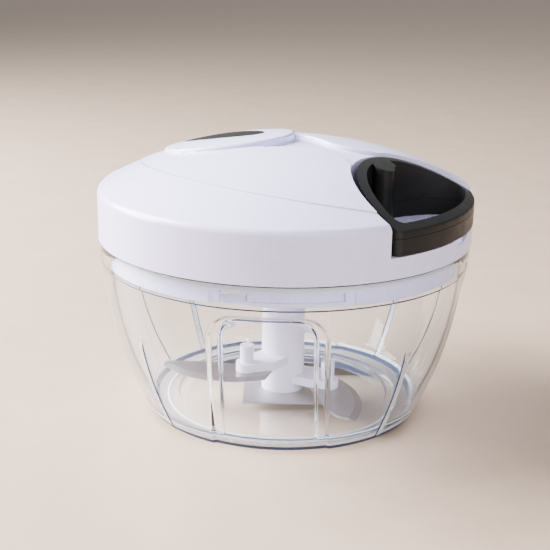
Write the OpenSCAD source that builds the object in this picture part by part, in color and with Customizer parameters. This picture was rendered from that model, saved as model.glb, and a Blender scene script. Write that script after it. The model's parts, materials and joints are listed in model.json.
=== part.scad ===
// Pull-string food chopper: a clear bowl, a domed lid that holds a cord reel with a recoil spring and a
// one-way clutch, a pull handle in a pocket of the lid, and a set of blades on a pin in the bowl.
// Millimetres. The origin is the middle of the bowl's foot, +Z is up and the handle pulls along +X.

/* [Bowl] */
// Radius of the foot on the table
foot_r = 46.5; // [44:0.5:49]
// Radius of the wall under the collar
bowl_r = 61.5; // [59.5:0.5:65]
// Height of the wall, from the table to the collar
bowl_h = 52.4; // [50:0.2:58]
// Radius of the wall's bulging side curve
bulge_r = 120; // [100:5:180]
// Thickness of the clear wall
bowl_wall = 2; // [1.6:0.1:2.4]
// Height of the floor's upper face in its middle
floor_z = 2.6; // [2.2:0.1:3.4]
// Depth of the hollow under the floor
foot_hollow = 0.9; // [0.5:0.1:1.2]
// Width of the foot ring
foot_ring = 5; // [3:0.5:7]
// Bevel round the foot's lower edge
foot_bevel = 1; // [0.5:0.1:1.5]
// Radius of the sunk middle of the floor
dish_r = 36.5; // [34:0.5:39]
// Height of the floor's outer step over its middle
dish_step = 0.8; // [0.4:0.1:1.2]
// Width of one sunk panel in the wall
panel_w = 36; // [30:1:42]
// Height of the wall left over a panel
panel_drop = 2.9; // [2.2:0.1:6]
// Corner radius at the top of a panel
panel_corner = 8; // [4:0.5:12]
// Depth of a panel
panel_depth = 1; // [0.6:0.1:1.4]
// Azimuth of the first panel, from the pull direction
panel_az = 23.5; // [0:0.5:45]
// Width of a rib between two panels
rib_w = 1.8; // [1.2:0.1:2.6]
// Height of a rib's top end
rib_top = 33.5; // [25:0.5:42]
// Length over which a rib's top end runs out into the wall
rib_taper = 5; // [3:0.5:8]
// How far a rib stands out of the wall
rib_proud = 1.1; // [0.6:0.1:1.6]

/* [Collar and bayonet] */
// Height of the collar round the bowl's mouth
collar_h = 7.2; // [6.4:0.1:9]
// How far the collar stands out of the wall
collar_step = 0.4; // [0.2:0.1:1]
// Thickness of the collar
collar_wall = 2.3; // [1.8:0.1:2.8]
// Arc of one bayonet lug, in degrees
lug_arc = 8.3; // [7:0.1:10]
// Azimuth of a lug from the middle of its panel, in degrees
lug_az = -9.5; // [-12:0.5:0]
// Height of a lug
lug_h = 2.2; // [1.6:0.1:2.4]
// How far a lug stands into the bowl's mouth
lug_reach = 2; // [1.5:0.1:2.3]
// Turn that locks the lid, in degrees
lock_turn = 27; // [20:1:32]
// Height of the seal ring
seal_h = 1.6; // [1.2:0.1:1.8]

/* [Lid] */
// How far the lid's wall stands out over the collar
lid_overhang = 0.6; // [0.3:0.1:1.2]
// Height of the lid's upright wall, up to where the dome starts
lid_h = 16.1; // [14:0.1:20]
// Radius of the dome
dome_r = 136; // [125:1:180]
// Rounding of the shoulder between dome and wall
shoulder_r = 3; // [1.5:0.5:5]
// Thickness of the lid's cover
cover_wall = 2.2; // [1.8:0.1:2.6]
// Step of the raised field on the dome
field_step = 0.4; // [0.2:0.1:0.8]
// Radius of the raised field's two long edges
field_r = 66.5; // [60:0.5:75]
// Half width of the raised field
field_half = 44.5; // [40:0.5:48]
// Height of the oval pad over the raised field
pad_rise = 1.2; // [0.6:0.1:2]
// Half length of the oval pad, along the pull direction
pad_a = 22.5; // [21:0.5:25]
// Half width of the oval pad
pad_b = 21; // [20:0.25:22]
// Place of the pad's middle behind the lid's axis
pad_back = 22; // [18:0.5:26]
// Half length of the bare badge plate
badge_a = 15; // [12:0.5:18]
// Half width of the badge plate
badge_b = 8.5; // [6:0.5:11]
// Thickness of the badge plate
badge_t = 0.7; // [0.5:0.1:1]
// Depth of the waisted channel between the pad and the handle
channel_depth = 0.9; // [0.5:0.1:1.2]
// Half width of the channel at its waist
channel_waist = 4.6; // [3.5:0.1:6]
// Radius of the channel's two sides at the waist
channel_r = 13.5; // [12:0.1:15]
// Thickness of the lid base's floor
base_floor = 2; // [1.6:0.1:2.6]
// Thickness of the lid base's skirt
skirt_wall = 3; // [2.8:0.1:3.6]
// Distance of the cover's screws from the skirt's inner wall
screw_inset = 6.9; // [6:0.1:12]

/* [Handle] */
// Radius of the handle's pocket in the lid
pocket_r = 34.4; // [32:0.2:36]
// Height of the lid's ledge under the pocket
pocket_ledge = 6.5; // [5:0.1:8]
// Gap between handle and pocket
handle_gap = 2.1; // [1:0.1:2.6]
// Depth of the handle's top under the raised field, at the handle's back
handle_drop = 0.6; // [0.2:0.1:1.5]
// Radius of the handle's domed top
handle_top_r = 122; // [115:1:150]
// Width of the handle's side rim
handle_rim = 3; // [2.6:0.1:4]
// Width of the handle's front wall
handle_front = 2.9; // [2.6:0.1:4]
// Rounding of the handle's two outer corners
handle_corner = 3; // [1.5:0.5:5]
// Rounding of the finger loop's two corners
loop_corner = 3.5; // [2:0.5:6]
// Radius of the cord post in the handle
post_r = 3.4; // [3.2:0.1:4]
// Height of the handle's parting plane over its lower face
handle_split = 5.1; // [4.6:0.1:6]
// Half width of the finger scoop in the ledge
scoop_half = 6.5; // [5:0.5:8]
// Depth of the finger scoop
scoop_depth = 1.9; // [1:0.1:2.4]

/* [Cord and reel] */
// Diameter of the pull cord
cord_d = 1.8; // [1.4:0.1:2]
// Length of cord that the handle pulls out
pull_travel = 350; // [250:10:380]
// Radius of the reel's drum
drum_r = 15.8; // [15:0.1:16.4]
// Thickness of the reel's flanges
flange_t = 1.4; // [1:0.1:1.8]
// Radius of the fixed axle
axle_r = 3; // [2.6:0.1:3.4]
// Thickness of the recoil spring's strip
spring_t = 0.3; // [0.2:0.05:0.4]
// Turns of the recoil spring
spring_turns = 6; // [4:1:7]
// Number of ratchet teeth in the drive cup
ratchet_teeth = 10; // [8:2:12]
// Radius of the spindle
spindle_r = 4; // [3.6:0.1:4.4]

/* [Blades] */
// Radius of the blade hub
hub_r = 7.4; // [7:0.1:8.4]
// Thickness of a blade
blade_t = 0.8; // [0.6:0.1:1.2]
// Reach of a blade's tip from the axis
blade_reach = 41.9; // [38:0.1:43]
// Sweep of the lower blade's tip behind its peg, in degrees
lower_sweep = 28.5; // [24:0.1:36]
// Sweep of the middle blade's tip behind its peg, in degrees
middle_sweep = 35.3; // [30:0.1:40]
// Radius of the lower blade's cutting edge
lower_edge_r = 34.2; // [30:0.1:40]
// Radius of the middle blade's cutting edge
middle_edge_r = 28.3; // [26:0.1:34]
// Width of the lower blade's blunt end
lower_end = 6; // [3:0.1:7]
// Width of the middle blade's blunt end
middle_end = 1.9; // [1:0.1:4]
// Radius of a blade's back
back_r = 83; // [60:1:120]
// Width of the ground bevel on the cutting edge
bevel_w = 2.4; // [1.5:0.1:3.5]
// Height of the lowest blade over the table
lowest_blade_z = 6.4; // [6:0.1:8]
// Rise from one blade to the next
blade_rise = 7.5; // [7:0.1:9]
// Thickness of a blade's bracket
bracket_t = 2.9; // [2.4:0.1:3.4]
// Distance of a bracket's peg from the axis
peg_ring_r = 17.5; // [16:0.1:19]
// Radius of a peg
peg_r = 2.3; // [1.8:0.1:2.8]
// Height of a peg over its bracket
peg_h = 6; // [4:0.5:8]
// Azimuth of the lower blade's peg, from the pull direction
lower_blade_az = 0; // [0:1:360]
// Azimuth of the middle blade's peg, from the pull direction
middle_blade_az = 254; // [0:1:360]
// Length of the scraper plate
scraper_l = 27.2; // [22:0.2:30]
// Width of the scraper plate
scraper_w = 17.5; // [16:0.5:20]
// Thickness of the scraper plate
scraper_t = 0.6; // [0.4:0.1:0.8]
// Radius of the pin in the bowl's floor
pin_r = 2; // [1.6:0.1:2.4]
// Height of the pin over the floor
pin_h = 11; // [8:0.5:14]

/* [Hidden] */
$fn = 96;

// Clearances: between flat faces of bodies that part, round a running shaft, round a fixed insert
part_gap = 0.3;
run_gap = 0.05;
seat_gap = 0.03;
// How far a shape that is joined to another reaches into it
root = 0.5;
// Longer than anything, for cuts that go right through
far = 200;
// Where revolved forms start their turn, off the plane of symmetry
start_az = 100;
// A rounding is this much too large, so that it crosses the faces it joins instead of only touching them
crossing = 1.01;

panel_count = 4;
white = [0.93, 0.93, 0.96];
black = [0.12, 0.12, 0.11];
steel = [0.72, 0.73, 0.75];
clear = [0.80, 0.87, 0.93, 0.35];
grey = [0.33, 0.33, 0.34];
cord_white = [0.86, 0.86, 0.84];

// Bowl: the wall is one arc from the foot to the collar
wall_c = arc_centre([foot_r, 0], [bowl_r, bowl_h], bulge_r);
collar_top = bowl_h + collar_h;
collar_r = bowl_r + collar_step;
mouth_r = collar_r - collar_wall;
panel_top = bowl_h - panel_drop;
ring_r = foot_r - foot_bevel - foot_ring;
step_z = floor_z + dish_step;

// Lid
lid_z = collar_top + part_gap;
lid_r = collar_r + lid_overhang;
crown_z = lid_z + lid_h + sag(dome_r, lid_r);
skirt_gap = 0.7;
skirt_r = mouth_r - skirt_gap;
skirt_in_r = skirt_r - skirt_wall;
skirt_h = 7.3;
skirt_z = lid_z - skirt_h;
screw_ring_r = skirt_in_r - screw_inset;
rim_h = 2;
base_drop = 4.9;
base_z = lid_z - base_drop;
base_top = base_z + base_floor;
lug_gap = 0.3;
lug_drop = 3.7;
lug_top = lid_z - lug_drop;
slot_roof = lug_top + lug_gap;
slot_sill = lug_top - lug_h - lug_gap;
slot_r = mouth_r - lug_reach - 0.4;
slot_half = lug_arc / 2 + 0.7;
slot_zone = 3;
zone_depth = 0.5;
seal_gap = 0.2;
seal_z = slot_roof + 0.9;
seal_groove_r = skirt_r - 1.1;
field_x = 7;
field_y = field_r - field_half;
field_end_r = 75;
field_end_x = 24;
pad_tip = pad_b - 2;
badge_tip = 6;
badge_x = -pad_back - 2;
channel_x = 17.5;
channel_end = 13;
// The channel's straight sides touch both the round of its waist and the pad
pad_r = (pad_a + pad_b) / 2 - 0.75;
channel_way = [channel_x + pad_back, channel_waist + channel_r];
channel_flare = asin((channel_r + pad_r) / norm(channel_way)) - atan2(channel_way[1], channel_way[0]);
flare_end = -pad_back + pad_r * sin(channel_flare);
screw_az = [55, 125, 235, 305];
screw_r = 1.4;
screw_head_r = 2.8;
screw_head_h = 1.6;
screw_l = 12;
boss_wall = 2;

// Handle: a ring cut from the lid's own round and the pocket's
pocket_inset = 1;
pocket_x = lid_r - pocket_inset;
pocket_z = lid_z + pocket_ledge;
pocket_wall = 2;
pocket_floor = 3.4;
handle_r = pocket_r - handle_gap;
handle_front_r = lid_r + 0.1;
handle_back_x = pocket_x - handle_r;
handle_z = pocket_z + part_gap;
handle_crown = crown_z - sag(dome_r, handle_back_x) + field_step - handle_drop
    + sag(handle_top_r, handle_back_x);
handle_edge = 1.2;
cord_z = handle_z + handle_split;
cord_r = cord_d / 2;
parting = 0.12;
post_in = 6.2;
post_x = handle_back_x + post_in;
post = [post_x, 0];
web_r = 4;
web = [post_x - 1.9, 3.5];
web_fillet_r = 5.4;
web_fillet = [post_x + 2.1, 12.4];
web_root = [handle_back_x + 1.2, 13.5];
knot_r = 1.9;
hole_gap = 0.3;
grip_screw_r = 0.7;
grip_screw_head_r = 1.1;
scoop_r = (scoop_half * scoop_half + scoop_depth * scoop_depth) / (2 * scoop_depth);

// Cord and reel, stacked upwards from the lid base's floor
bush_r = spindle_r + 1.5;
bush_flange_r = bush_r + 2;
bush_flange_t = 0.8;
bush_drop = 1.6;
cup_z = base_top + bush_flange_t + part_gap;
cup_plate = 1.8;
cup_floor = cup_z + cup_plate;
cup_wall_h = 4.4;
cup_top = cup_floor + cup_wall_h;
tooth_tip_r = 14;
tooth_root_r = 17;
cup_r = tooth_root_r + 2.5;
cup_boss_r = axle_r + 2;
reel_z = cup_top + part_gap;
drum_z = reel_z + flange_t;
cord_gap = 0.3;
wind_r = drum_r + cord_gap + cord_r;
wind_pitch = cord_d + 0.5;
wind_turns = pull_travel / (2 * PI * wind_r) + 0.12;
drum_h = wind_turns * wind_pitch + cord_d + 2 * cord_gap;
drum_top = drum_z + drum_h;
drum_in_r = drum_r - 1.8;
flange_reach = 3.5;
reel_r = wind_r + cord_r + flange_reach;
axle_z = cup_floor + part_gap;
axle_boss_z = drum_top + flange_t + part_gap;
axle_boss_r = axle_r + 3;
axle_seat = 5;
axle_top = axle_boss_z + axle_seat;
wind_top = drum_top - cord_gap - cord_r;
eyelet_r = cord_r + 1.6;
eyelet_bore = cord_r + 0.4;
eyelet_flange_r = eyelet_r + 1.1;
eyelet_flange_t = 1.2;
wall_out_x = pocket_x - pocket_r - pocket_wall;
eyelet_in = wall_out_x - eyelet_flange_t;
eyelet_out = pocket_x - pocket_r + 0.2;
leave_az = -acos(wind_r / eyelet_in);
lead_l = 4;
spring_in_r = axle_r + 0.4;
spring_out_r = drum_in_r - spring_t / 2;
spring_z = drum_z + 1.6;
spring_h = drum_h - 3.2;
pawl_ring_r = 9.5;
pawl_az = -45;
pawl_pin_r = 1.2;
pawl_eye_r = 2.4;
pawl_tip_r = 16;
pawl_tip_az = 8;
pawl_lead = 9;
pawl_z = cup_floor + 0.4;
pawl_h = cup_wall_h - 0.9;
dog_count = 3;
dog_arc = 30;
dog_play = 4;
dog_core_r = spindle_r - 1.6;

// Blades: the hub stands on the pin and ends under the lid
hub_z = scraper_z() + scraper_t;
hub_top = base_z - bush_drop - 3;
socket_l = 9.5;
socket_r = spindle_r + 0.3;
socket_z = hub_top - socket_l;
spindle_end = socket_z + 1;
bracket_r = peg_r + 1.4;
blade_count = 2;
root_out = [[17.3, 9.6], [18.2, 9.5]];
root_in = [[9.9, -0.9], [10.8, 5.7]];
blade_tip = [polar(blade_reach, -lower_sweep), polar(blade_reach, -middle_sweep)];
blade_end = [lower_end * [-1, 0], middle_end * [-0.8, -0.6]];
blade_edge_r = [lower_edge_r, middle_edge_r];
rivet_r = 1.2;
rivet_head_r = 2;
rivet_head_h = 0.6;
scraper_az = 298.5;
scraper_in = -2;
nose_r = pin_r + 1.4;

// Centre of the arc of radius r from p to q that bulges to the right of the way from p to q
function arc_centre(p, q, r) =
    let (d = q - p, l = norm(d), h = sqrt(r * r - l * l / 4))
    (p + q) / 2 + h * [-d[1], d[0]] / l;

// How far a sphere of radius r has dropped at a distance from its pole
function sag(r, away) = r - sqrt(r * r - away * away);

// Radius of the bowl's wall at a height
function wall_at(z) = wall_c[0] + sqrt(bulge_r * bulge_r - (z - wall_c[1]) * (z - wall_c[1]));

function polar(r, a) = [r * cos(a), r * sin(a)];

// Height of the scraper plate's lower face
function scraper_z() = floor_z + 0.8;

// A flat ring's sector between two radii, two heights and two azimuths
module sector(r0, r1, z0, z1, a0, a1)
    rotate(a0) rotate_extrude(angle = a1 - a0) translate([r0, z0]) square([r1 - r0, z1 - z0]);

module tube(r0, r1, z0, z1)
    rotate_extrude() translate([r0, z0]) square([r1 - r0, z1 - z0]);

// Upright cylinder between two heights
module rod(r, z0, z1)
    translate([0, 0, z0]) cylinder(r = r, h = z1 - z0);

// Cylinder of radius r from point p to point q
module bar(p, q, r) {
    d = q - p;
    translate(p)
        rotate([0, acos(d[2] / norm(d)), atan2(d[1], d[0])])
            cylinder(r = r, h = norm(d));
}

// Oval of four arcs: half length a, half width b, radius of its ends
module oval(a, b, end_r) {
    side_r = ((a - end_r) * (a - end_r) + b * b - end_r * end_r) / (2 * (b - end_r));
    touch_x = a - end_r + end_r * (a - end_r) / (side_r - end_r);
    for (s = [-1, 1])
        translate([s * (a - end_r), 0]) circle(end_r);
    intersection() {
        translate([0, b - side_r]) circle(side_r);
        translate([0, side_r - b]) circle(side_r);
        square([2 * touch_x, 2 * b + 1], center = true);
    }
}

// Half section of a domed solid with an upright wall and a rounded shoulder
module dome_section(r, z, crown, sphere_r, round_r) {
    ball_z = crown - sphere_r;
    in = sphere_r - round_r;
    c = [r - round_r, ball_z + sqrt(in * in - (r - round_r) * (r - round_r))];
    out = (c - [0, ball_z]) / in;
    difference() {
        intersection() {
            translate([0, ball_z]) circle(sphere_r, $fn = 360);
            translate([0, z]) square([r, crown - z + 1]);
        }
        difference() {
            polygon([c, c + [round_r * 2, 0], c + [round_r * 2, round_r * 3], c + out * round_r * 2]);
            translate(c) circle(round_r * crossing);
        }
    }
}

// The lid's outer solid, shrunk by a depth on all sides but its lower one
module dome(depth)
    rotate(start_az) rotate_extrude()
        dome_section(lid_r - depth, lid_z, crown_z - depth, dome_r - depth, max(shoulder_r - depth, 0.6));

// Everything under the dome's curve, lifted by a height
module under_dome(lift, r)
    rotate(start_az) rotate_extrude()
        intersection() {
            translate([0, crown_z + lift - dome_r]) circle(dome_r, $fn = 360);
            translate([0, lid_z + rim_h]) square([r, far]);
        }

// Upright prism through the lid's top
module through_lid()
    translate([0, 0, lid_z + rim_h + root]) linear_extrude(far) children();

// Half section of the bowl's solid, shrunk by a depth, between two heights
module wall_section(depth, z0, z1)
    intersection() {
        translate(wall_c) circle(bulge_r - depth, $fn = 360);
        translate([0, z0]) square([far, z1 - z0]);
        polygon([[0, 0], [foot_r - foot_bevel, 0], [foot_r - foot_bevel + far, far], [0, far]]);
    }

// Outline of a panel, grown by a margin
module panel_outline(margin) {
    half = panel_w / 2 + margin;
    top = panel_top + margin;
    corner = panel_corner + margin;
    translate([-half, -1]) square([2 * half, top - corner + 1]);
    translate([corner - half, -1]) square([2 * (half - corner), top + 1]);
    for (s = [-1, 1])
        translate([s * (half - corner), top - corner]) circle(corner);
}

// The bowl's outer form, shrunk by a depth: panels sink into the wall and ribs stay out of it
module bowl_form(depth, z0, z1) {
    difference() {
        rotate_extrude() wall_section(depth, z0, z1);
        for (k = [0 : panel_count - 1])
            rotate(panel_az + k * 360 / panel_count)
                rotate([90, 0, 90]) linear_extrude(far) panel_outline(depth);
    }
    rotate_extrude() wall_section(depth + panel_depth, z0, z1);
}

// One rib, a thin plate that runs out into the wall at its top
module bowl_rib() {
    low = [wall_at(rib_top - rib_taper) + rib_proud, rib_top - rib_taper];
    high = [wall_at(rib_top) - bowl_wall / 4, rib_top];
    rotate([90, 0, 0]) linear_extrude(rib_w, center = true)
        difference() {
            intersection() {
                translate(wall_c + [rib_proud, 0]) circle(bulge_r, $fn = 360);
                polygon([[foot_r / 2, foot_bevel], [low[0], foot_bevel], low, high, [foot_r / 2, rib_top]]);
            }
            translate(wall_c) circle(bulge_r - bowl_wall / 2, $fn = 360);
        }
}

module bowl()
    color(clear) {
        difference() {
            union() {
                bowl_form(0, 0, bowl_h);
                for (k = [0 : panel_count - 1])
                    rotate(panel_az + (k + 0.5) * 360 / panel_count) bowl_rib();
            }
            bowl_form(bowl_wall, step_z, bowl_h + 1);
            rod(dish_r, floor_z, step_z + 1);
            rod(ring_r, -1, foot_hollow);
            rod(pin_r + seat_gap, floor_z - 1.2, floor_z + 1);
        }
        tube(mouth_r, collar_r, bowl_h, collar_top);
        for (k = [0 : panel_count - 1])
            rotate(panel_az + k * 360 / panel_count + lug_az)
                sector(mouth_r - lug_reach, mouth_r + root, lug_top - lug_h, lug_top,
                       -lug_arc / 2, lug_arc / 2);
    }

module bowl_pin()
    color(steel)
        rotate_extrude()
            polygon([[0, floor_z - 1.2], [pin_r, floor_z - 1.2], [pin_r, floor_z + pin_h - pin_r / 2],
                     [pin_r / 2, floor_z + pin_h], [0, floor_z + pin_h]]);

module lid_seal()
    color([0.80, 0.81, 0.84])
        rotate_extrude()
            difference() {
                translate([seal_groove_r + part_gap, seal_z + seal_gap])
                    square([mouth_r - part_gap - seal_groove_r - part_gap, seal_h]);
                translate([mouth_r, seal_z + seal_gap + seal_h / 2]) circle(seal_h / 4);
            }

module lid_base()
    color(white)
        difference() {
            union() {
                tube(skirt_in_r, skirt_r, skirt_z, lid_z + rim_h);
                tube(skirt_in_r, lid_r - cover_wall - part_gap, lid_z, lid_z + rim_h);
                rod(skirt_in_r + root, base_z, base_top);
                rod(bush_r + boss_wall, base_z - bush_drop, base_z + root);
                for (a = screw_az)
                    translate(polar(screw_ring_r, a)) rod(screw_head_r + 1, base_z - screw_head_h, base_top);
            }
            for (k = [0 : panel_count - 1])
                rotate(panel_az + k * 360 / panel_count + lug_az) {
                    sector(slot_r, skirt_r + 1, skirt_z - 1, slot_roof, -slot_half, slot_half);
                    sector(slot_r, skirt_r + 1, slot_sill, slot_roof, -slot_half, lock_turn + slot_half);
                    sector(skirt_r - zone_depth, skirt_r + 1, skirt_z - 1, slot_roof + lug_gap,
                           -slot_half - slot_zone, lock_turn + slot_half + slot_zone);
                }
            tube(seal_groove_r, skirt_r + 1, seal_z, seal_z + seal_h + 2 * seal_gap);
            rod(bush_r + seat_gap, base_z - bush_drop - 1, base_top + 1);
            for (a = screw_az)
                translate(polar(screw_ring_r, a)) {
                    rod(screw_r + run_gap, base_z - 3, base_top + 1);
                    rod(screw_head_r + part_gap, base_z - 3, base_z);
                }
        }

// The waisted channel: it opens straight towards the pad and round towards the handle
module channel_outline()
    difference() {
        union() {
            translate([channel_x - channel_r * sin(channel_flare), -channel_end])
                square([pocket_x - channel_x, 2 * channel_end]);
            polygon([for (p = [[flare_end, -1], [channel_x - channel_r / 3, -1],
                               [channel_x - channel_r / 3, 1], [flare_end, 1]])
                [p[0], p[1] * flare_at(p[0])]]);
        }
        for (s = [-1, 1])
            translate([channel_x, s * (channel_waist + channel_r)]) circle(channel_r);
        translate([-pad_back, 0]) oval(pad_a, pad_b, pad_tip);
    }

// Half width of the channel's straight flare
function flare_at(x) =
    channel_waist + channel_r * (crossing - cos(channel_flare))
    + (channel_x - channel_r * sin(channel_flare) - x) * tan(channel_flare);

module top_cover()
    color(white)
        difference() {
            union() {
                difference() {
                    union() {
                        dome(0);
                        intersection() {
                            under_dome(field_step, lid_r - 1);
                            through_lid()
                                intersection() {
                                    translate([field_x, field_y]) circle(field_r);
                                    translate([field_x, -field_y]) circle(field_r);
                                    translate([field_end_x, 0]) circle(field_end_r);
                                }
                        }
                        intersection() {
                            under_dome(field_step + pad_rise, lid_r - 1);
                            through_lid() translate([-pad_back, 0]) oval(pad_a, pad_b, pad_tip);
                        }
                    }
                    translate([0, 0, -0.01]) dome(cover_wall);
                }
                intersection() {
                    dome(cover_wall / 2);
                    union() {
                        translate([pocket_x, 0]) rotate(start_az / 2)
                            rod(pocket_r + pocket_wall, pocket_z - pocket_floor, far);
                        rod(axle_boss_r, axle_boss_z, far);
                        for (a = screw_az)
                            translate(polar(screw_ring_r, a)) rod(screw_r + boss_wall, base_top, far);
                    }
                }
                for (a = screw_az)
                    translate(polar(screw_ring_r, a)) rod(screw_r + boss_wall, base_top, lid_z + rim_h);
            }
            translate([pocket_x, 0]) rotate(start_az / 2) rod(pocket_r, pocket_z, far);
            translate([far, 0, pocket_z + scoop_r - scoop_depth]) rotate([0, -90, 0])
                cylinder(r = scoop_r, h = far - pocket_x + 2 * handle_front);
            difference() {
                through_lid() channel_outline();
                under_dome(-channel_depth, far);
            }
            difference() {
                through_lid() translate([badge_x, 0])
                    oval(badge_a + run_gap, badge_b + run_gap, badge_tip + run_gap);
                under_dome(field_step + pad_rise - badge_t, far);
            }
            bar([wall_out_x - 2, 0, cord_z], [eyelet_out + 2, 0, cord_z], eyelet_r + seat_gap);
            rod(axle_r + seat_gap, axle_boss_z - 1, axle_top);
            for (a = screw_az)
                translate(polar(screw_ring_r, a)) rod(screw_r + seat_gap, base_top - 1, base_z + screw_l + 1);
        }

module badge()
    color(grey)
        difference() {
            intersection() {
                under_dome(field_step + pad_rise, far);
                through_lid() translate([badge_x, 0]) oval(badge_a, badge_b, badge_tip);
            }
            under_dome(field_step + pad_rise - badge_t, far);
        }

module cord_eyelet()
    color(steel)
        difference() {
            union() {
                bar([eyelet_in, 0, cord_z], [wall_out_x, 0, cord_z], eyelet_flange_r);
                bar([eyelet_in, 0, cord_z], [eyelet_out, 0, cord_z], eyelet_r);
            }
            bar([eyelet_in - 1, 0, cord_z], [eyelet_out + 1, 0, cord_z], eyelet_bore);
        }

module spindle_bush()
    color([0.75, 0.62, 0.38])
        difference() {
            union() {
                rod(bush_r, base_z - bush_drop, base_top + root);
                rod(bush_flange_r, base_top, base_top + bush_flange_t);
            }
            rod(spindle_r + run_gap, base_z - bush_drop - 1, base_top + bush_flange_t + 1);
        }

module reel_axle()
    color(steel)
        rod(axle_r, axle_z, axle_top);

module cover_screws()
    color(steel)
        for (a = screw_az)
            translate(polar(screw_ring_r, a)) {
                rod(screw_r, base_z - root, base_z + screw_l);
                rod(screw_head_r, base_z - screw_head_h, base_z);
            }

// Where the cord leaves the reel, and its straight way to the eyelet
function leave(l, z) =
    let (p = polar(wind_r, leave_az) + l * [-sin(leave_az), cos(leave_az)])
    [p[0], p[1], z];

lead_way = eyelet_in * sin(-leave_az);
clear_l = sqrt(pow(wind_r + cord_r + 3 * part_gap, 2) - pow(wind_r - cord_r, 2));

module cord_run()
    color(cord_white) {
        bar(leave(clear_l, wind_top + (cord_z - wind_top) * clear_l / lead_way),
            [eyelet_in, 0, cord_z], cord_r);
        translate([eyelet_in, 0, cord_z]) sphere(cord_r + run_gap);
        bar([eyelet_in, 0, cord_z], [eyelet_out, 0, cord_z], cord_r);
    }

module cord_reel()
    color([0.88, 0.88, 0.90])
        difference() {
            union() {
                rod(reel_r, reel_z, drum_z);
                tube(drum_in_r, drum_r, reel_z, drum_top);
                rod(axle_r + 2, reel_z, drum_z + 1.2);
            }
            rod(axle_r + run_gap, reel_z - 1, drum_z + 3);
            for (k = [0, 180])
                rotate(pawl_az + k) translate([pawl_ring_r, 0])
                    rod(pawl_pin_r + seat_gap, reel_z - 1, drum_z + 1);
        }

module reel_flange()
    color([0.88, 0.88, 0.90])
        difference() {
            union() {
                rod(reel_r, drum_top, drum_top + flange_t);
                tube(drum_in_r - 1.4, drum_in_r - seat_gap, drum_top - 1, drum_top + root);
            }
            rod(axle_r + run_gap, drum_top - 2, drum_top + flange_t + 1);
        }

// Round tube of six sides along points that run mostly level
module cord_tube(points, r) {
    n = len(points);
    sides = 6;
    ring_points = [
        for (i = [0 : n - 1])
            let (t = points[min(i + 1, n - 1)] - points[max(i - 1, 0)],
                 across = cross(t, [0, 0, 1]) / norm(cross(t, [0, 0, 1])),
                 up = cross(across, t) / norm(cross(across, t)))
            for (k = [0 : sides - 1])
                points[i] + r * (cos(60 * k + 30) * across + sin(60 * k + 30) * up)
    ];
    walls = [
        for (i = [0 : n - 2])
            for (k = [0 : sides - 1])
                let (a = i * sides + k, b = i * sides + (k + 1) % sides)
                for (face = [[a, b, b + sides], [a, b + sides, a + sides]]) face
    ];
    first = [for (k = [1 : sides - 2]) [0, k + 1, k]];
    last = [for (k = [1 : sides - 2]) (n - 1) * sides * [1, 1, 1] + [0, k, k + 1]];
    polyhedron(ring_points, concat(walls, first, last));
}

// The wound cord: turns on the drum, then a short straight lead towards the eyelet
wind_rings = ceil(wind_turns * 24);
wind_points = [
    for (i = [0 : wind_rings])
        let (back = wind_turns * (wind_rings - i) / wind_rings, p = polar(wind_r, leave_az - 360 * back))
        [p[0], p[1], wind_top - wind_pitch * back]
];
wind_gap = min([for (i = [0 : wind_rings - 13]) for (j = [i + 13 : wind_rings])
    norm(wind_points[i] - wind_points[j])]) - cord_d;
echo(str("Least gap of the wound cord to itself: ", wind_gap, " mm"));  // pull_cord

module pull_cord()
    color(cord_white)
        cord_tube(concat(wind_points, [leave(lead_l, wind_top)]), cord_r);

// Flat strip wound as a spiral from the axle out to the drum's inner wall
module recoil_spring() {
    steps = spring_turns * 24;
    grow = (spring_out_r - spring_in_r - spring_t / 2) / steps;
    inner = [for (i = [0 : steps]) polar(spring_in_r + grow * i, 15 * i)];
    outer = [for (i = [steps : -1 : 0]) polar(spring_in_r + spring_t + grow * i, 15 * i)];
    color(steel)
        translate([0, 0, spring_z]) linear_extrude(spring_h) polygon(concat(inner, outer));
}

module pawl_pins()
    color(steel)
        for (k = [0, 180])
            rotate(pawl_az + k) translate([pawl_ring_r, 0]) rod(pawl_pin_r, pawl_z, drum_z);

// A pawl: an eye on its pin and a lever whose end follows the ratchet tooth that it stands in
module pawl(turn) {
    eye = polar(pawl_ring_r, pawl_az);
    end = polar(pawl_tip_r, pawl_tip_az);
    along = (end - eye) / norm(end - eye);
    side = [-along[1], along[0]];
    half = pawl_eye_r * 0.9;
    color([0.85, 0.85, 0.82])
        rotate(turn)
            difference() {
                translate([0, 0, pawl_z]) linear_extrude(pawl_h) {
                    translate(eye) circle(pawl_eye_r);
                    intersection() {
                        polygon([eye - half * side, end - half * side, end, eye + half * side]);
                        ratchet_hollow(part_gap);
                    }
                }
                translate(eye) rod(pawl_pin_r + run_gap, pawl_z - 1, pawl_z + pawl_h + 1);
            }
}

module pawl_a() pawl(0);

module pawl_b() pawl(180);

// Inside of the ratchet ring, shrunk by a gap: each tooth has one radial face, which the pawls push on
module ratchet_hollow(gap) {
    step = 360 / ratchet_teeth;
    polygon([for (i = [0 : ratchet_teeth - 1]) for (r = [tooth_root_r, tooth_tip_r])
        polar(r - gap, pawl_tip_az + pawl_lead + i * step)]);
}

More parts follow.
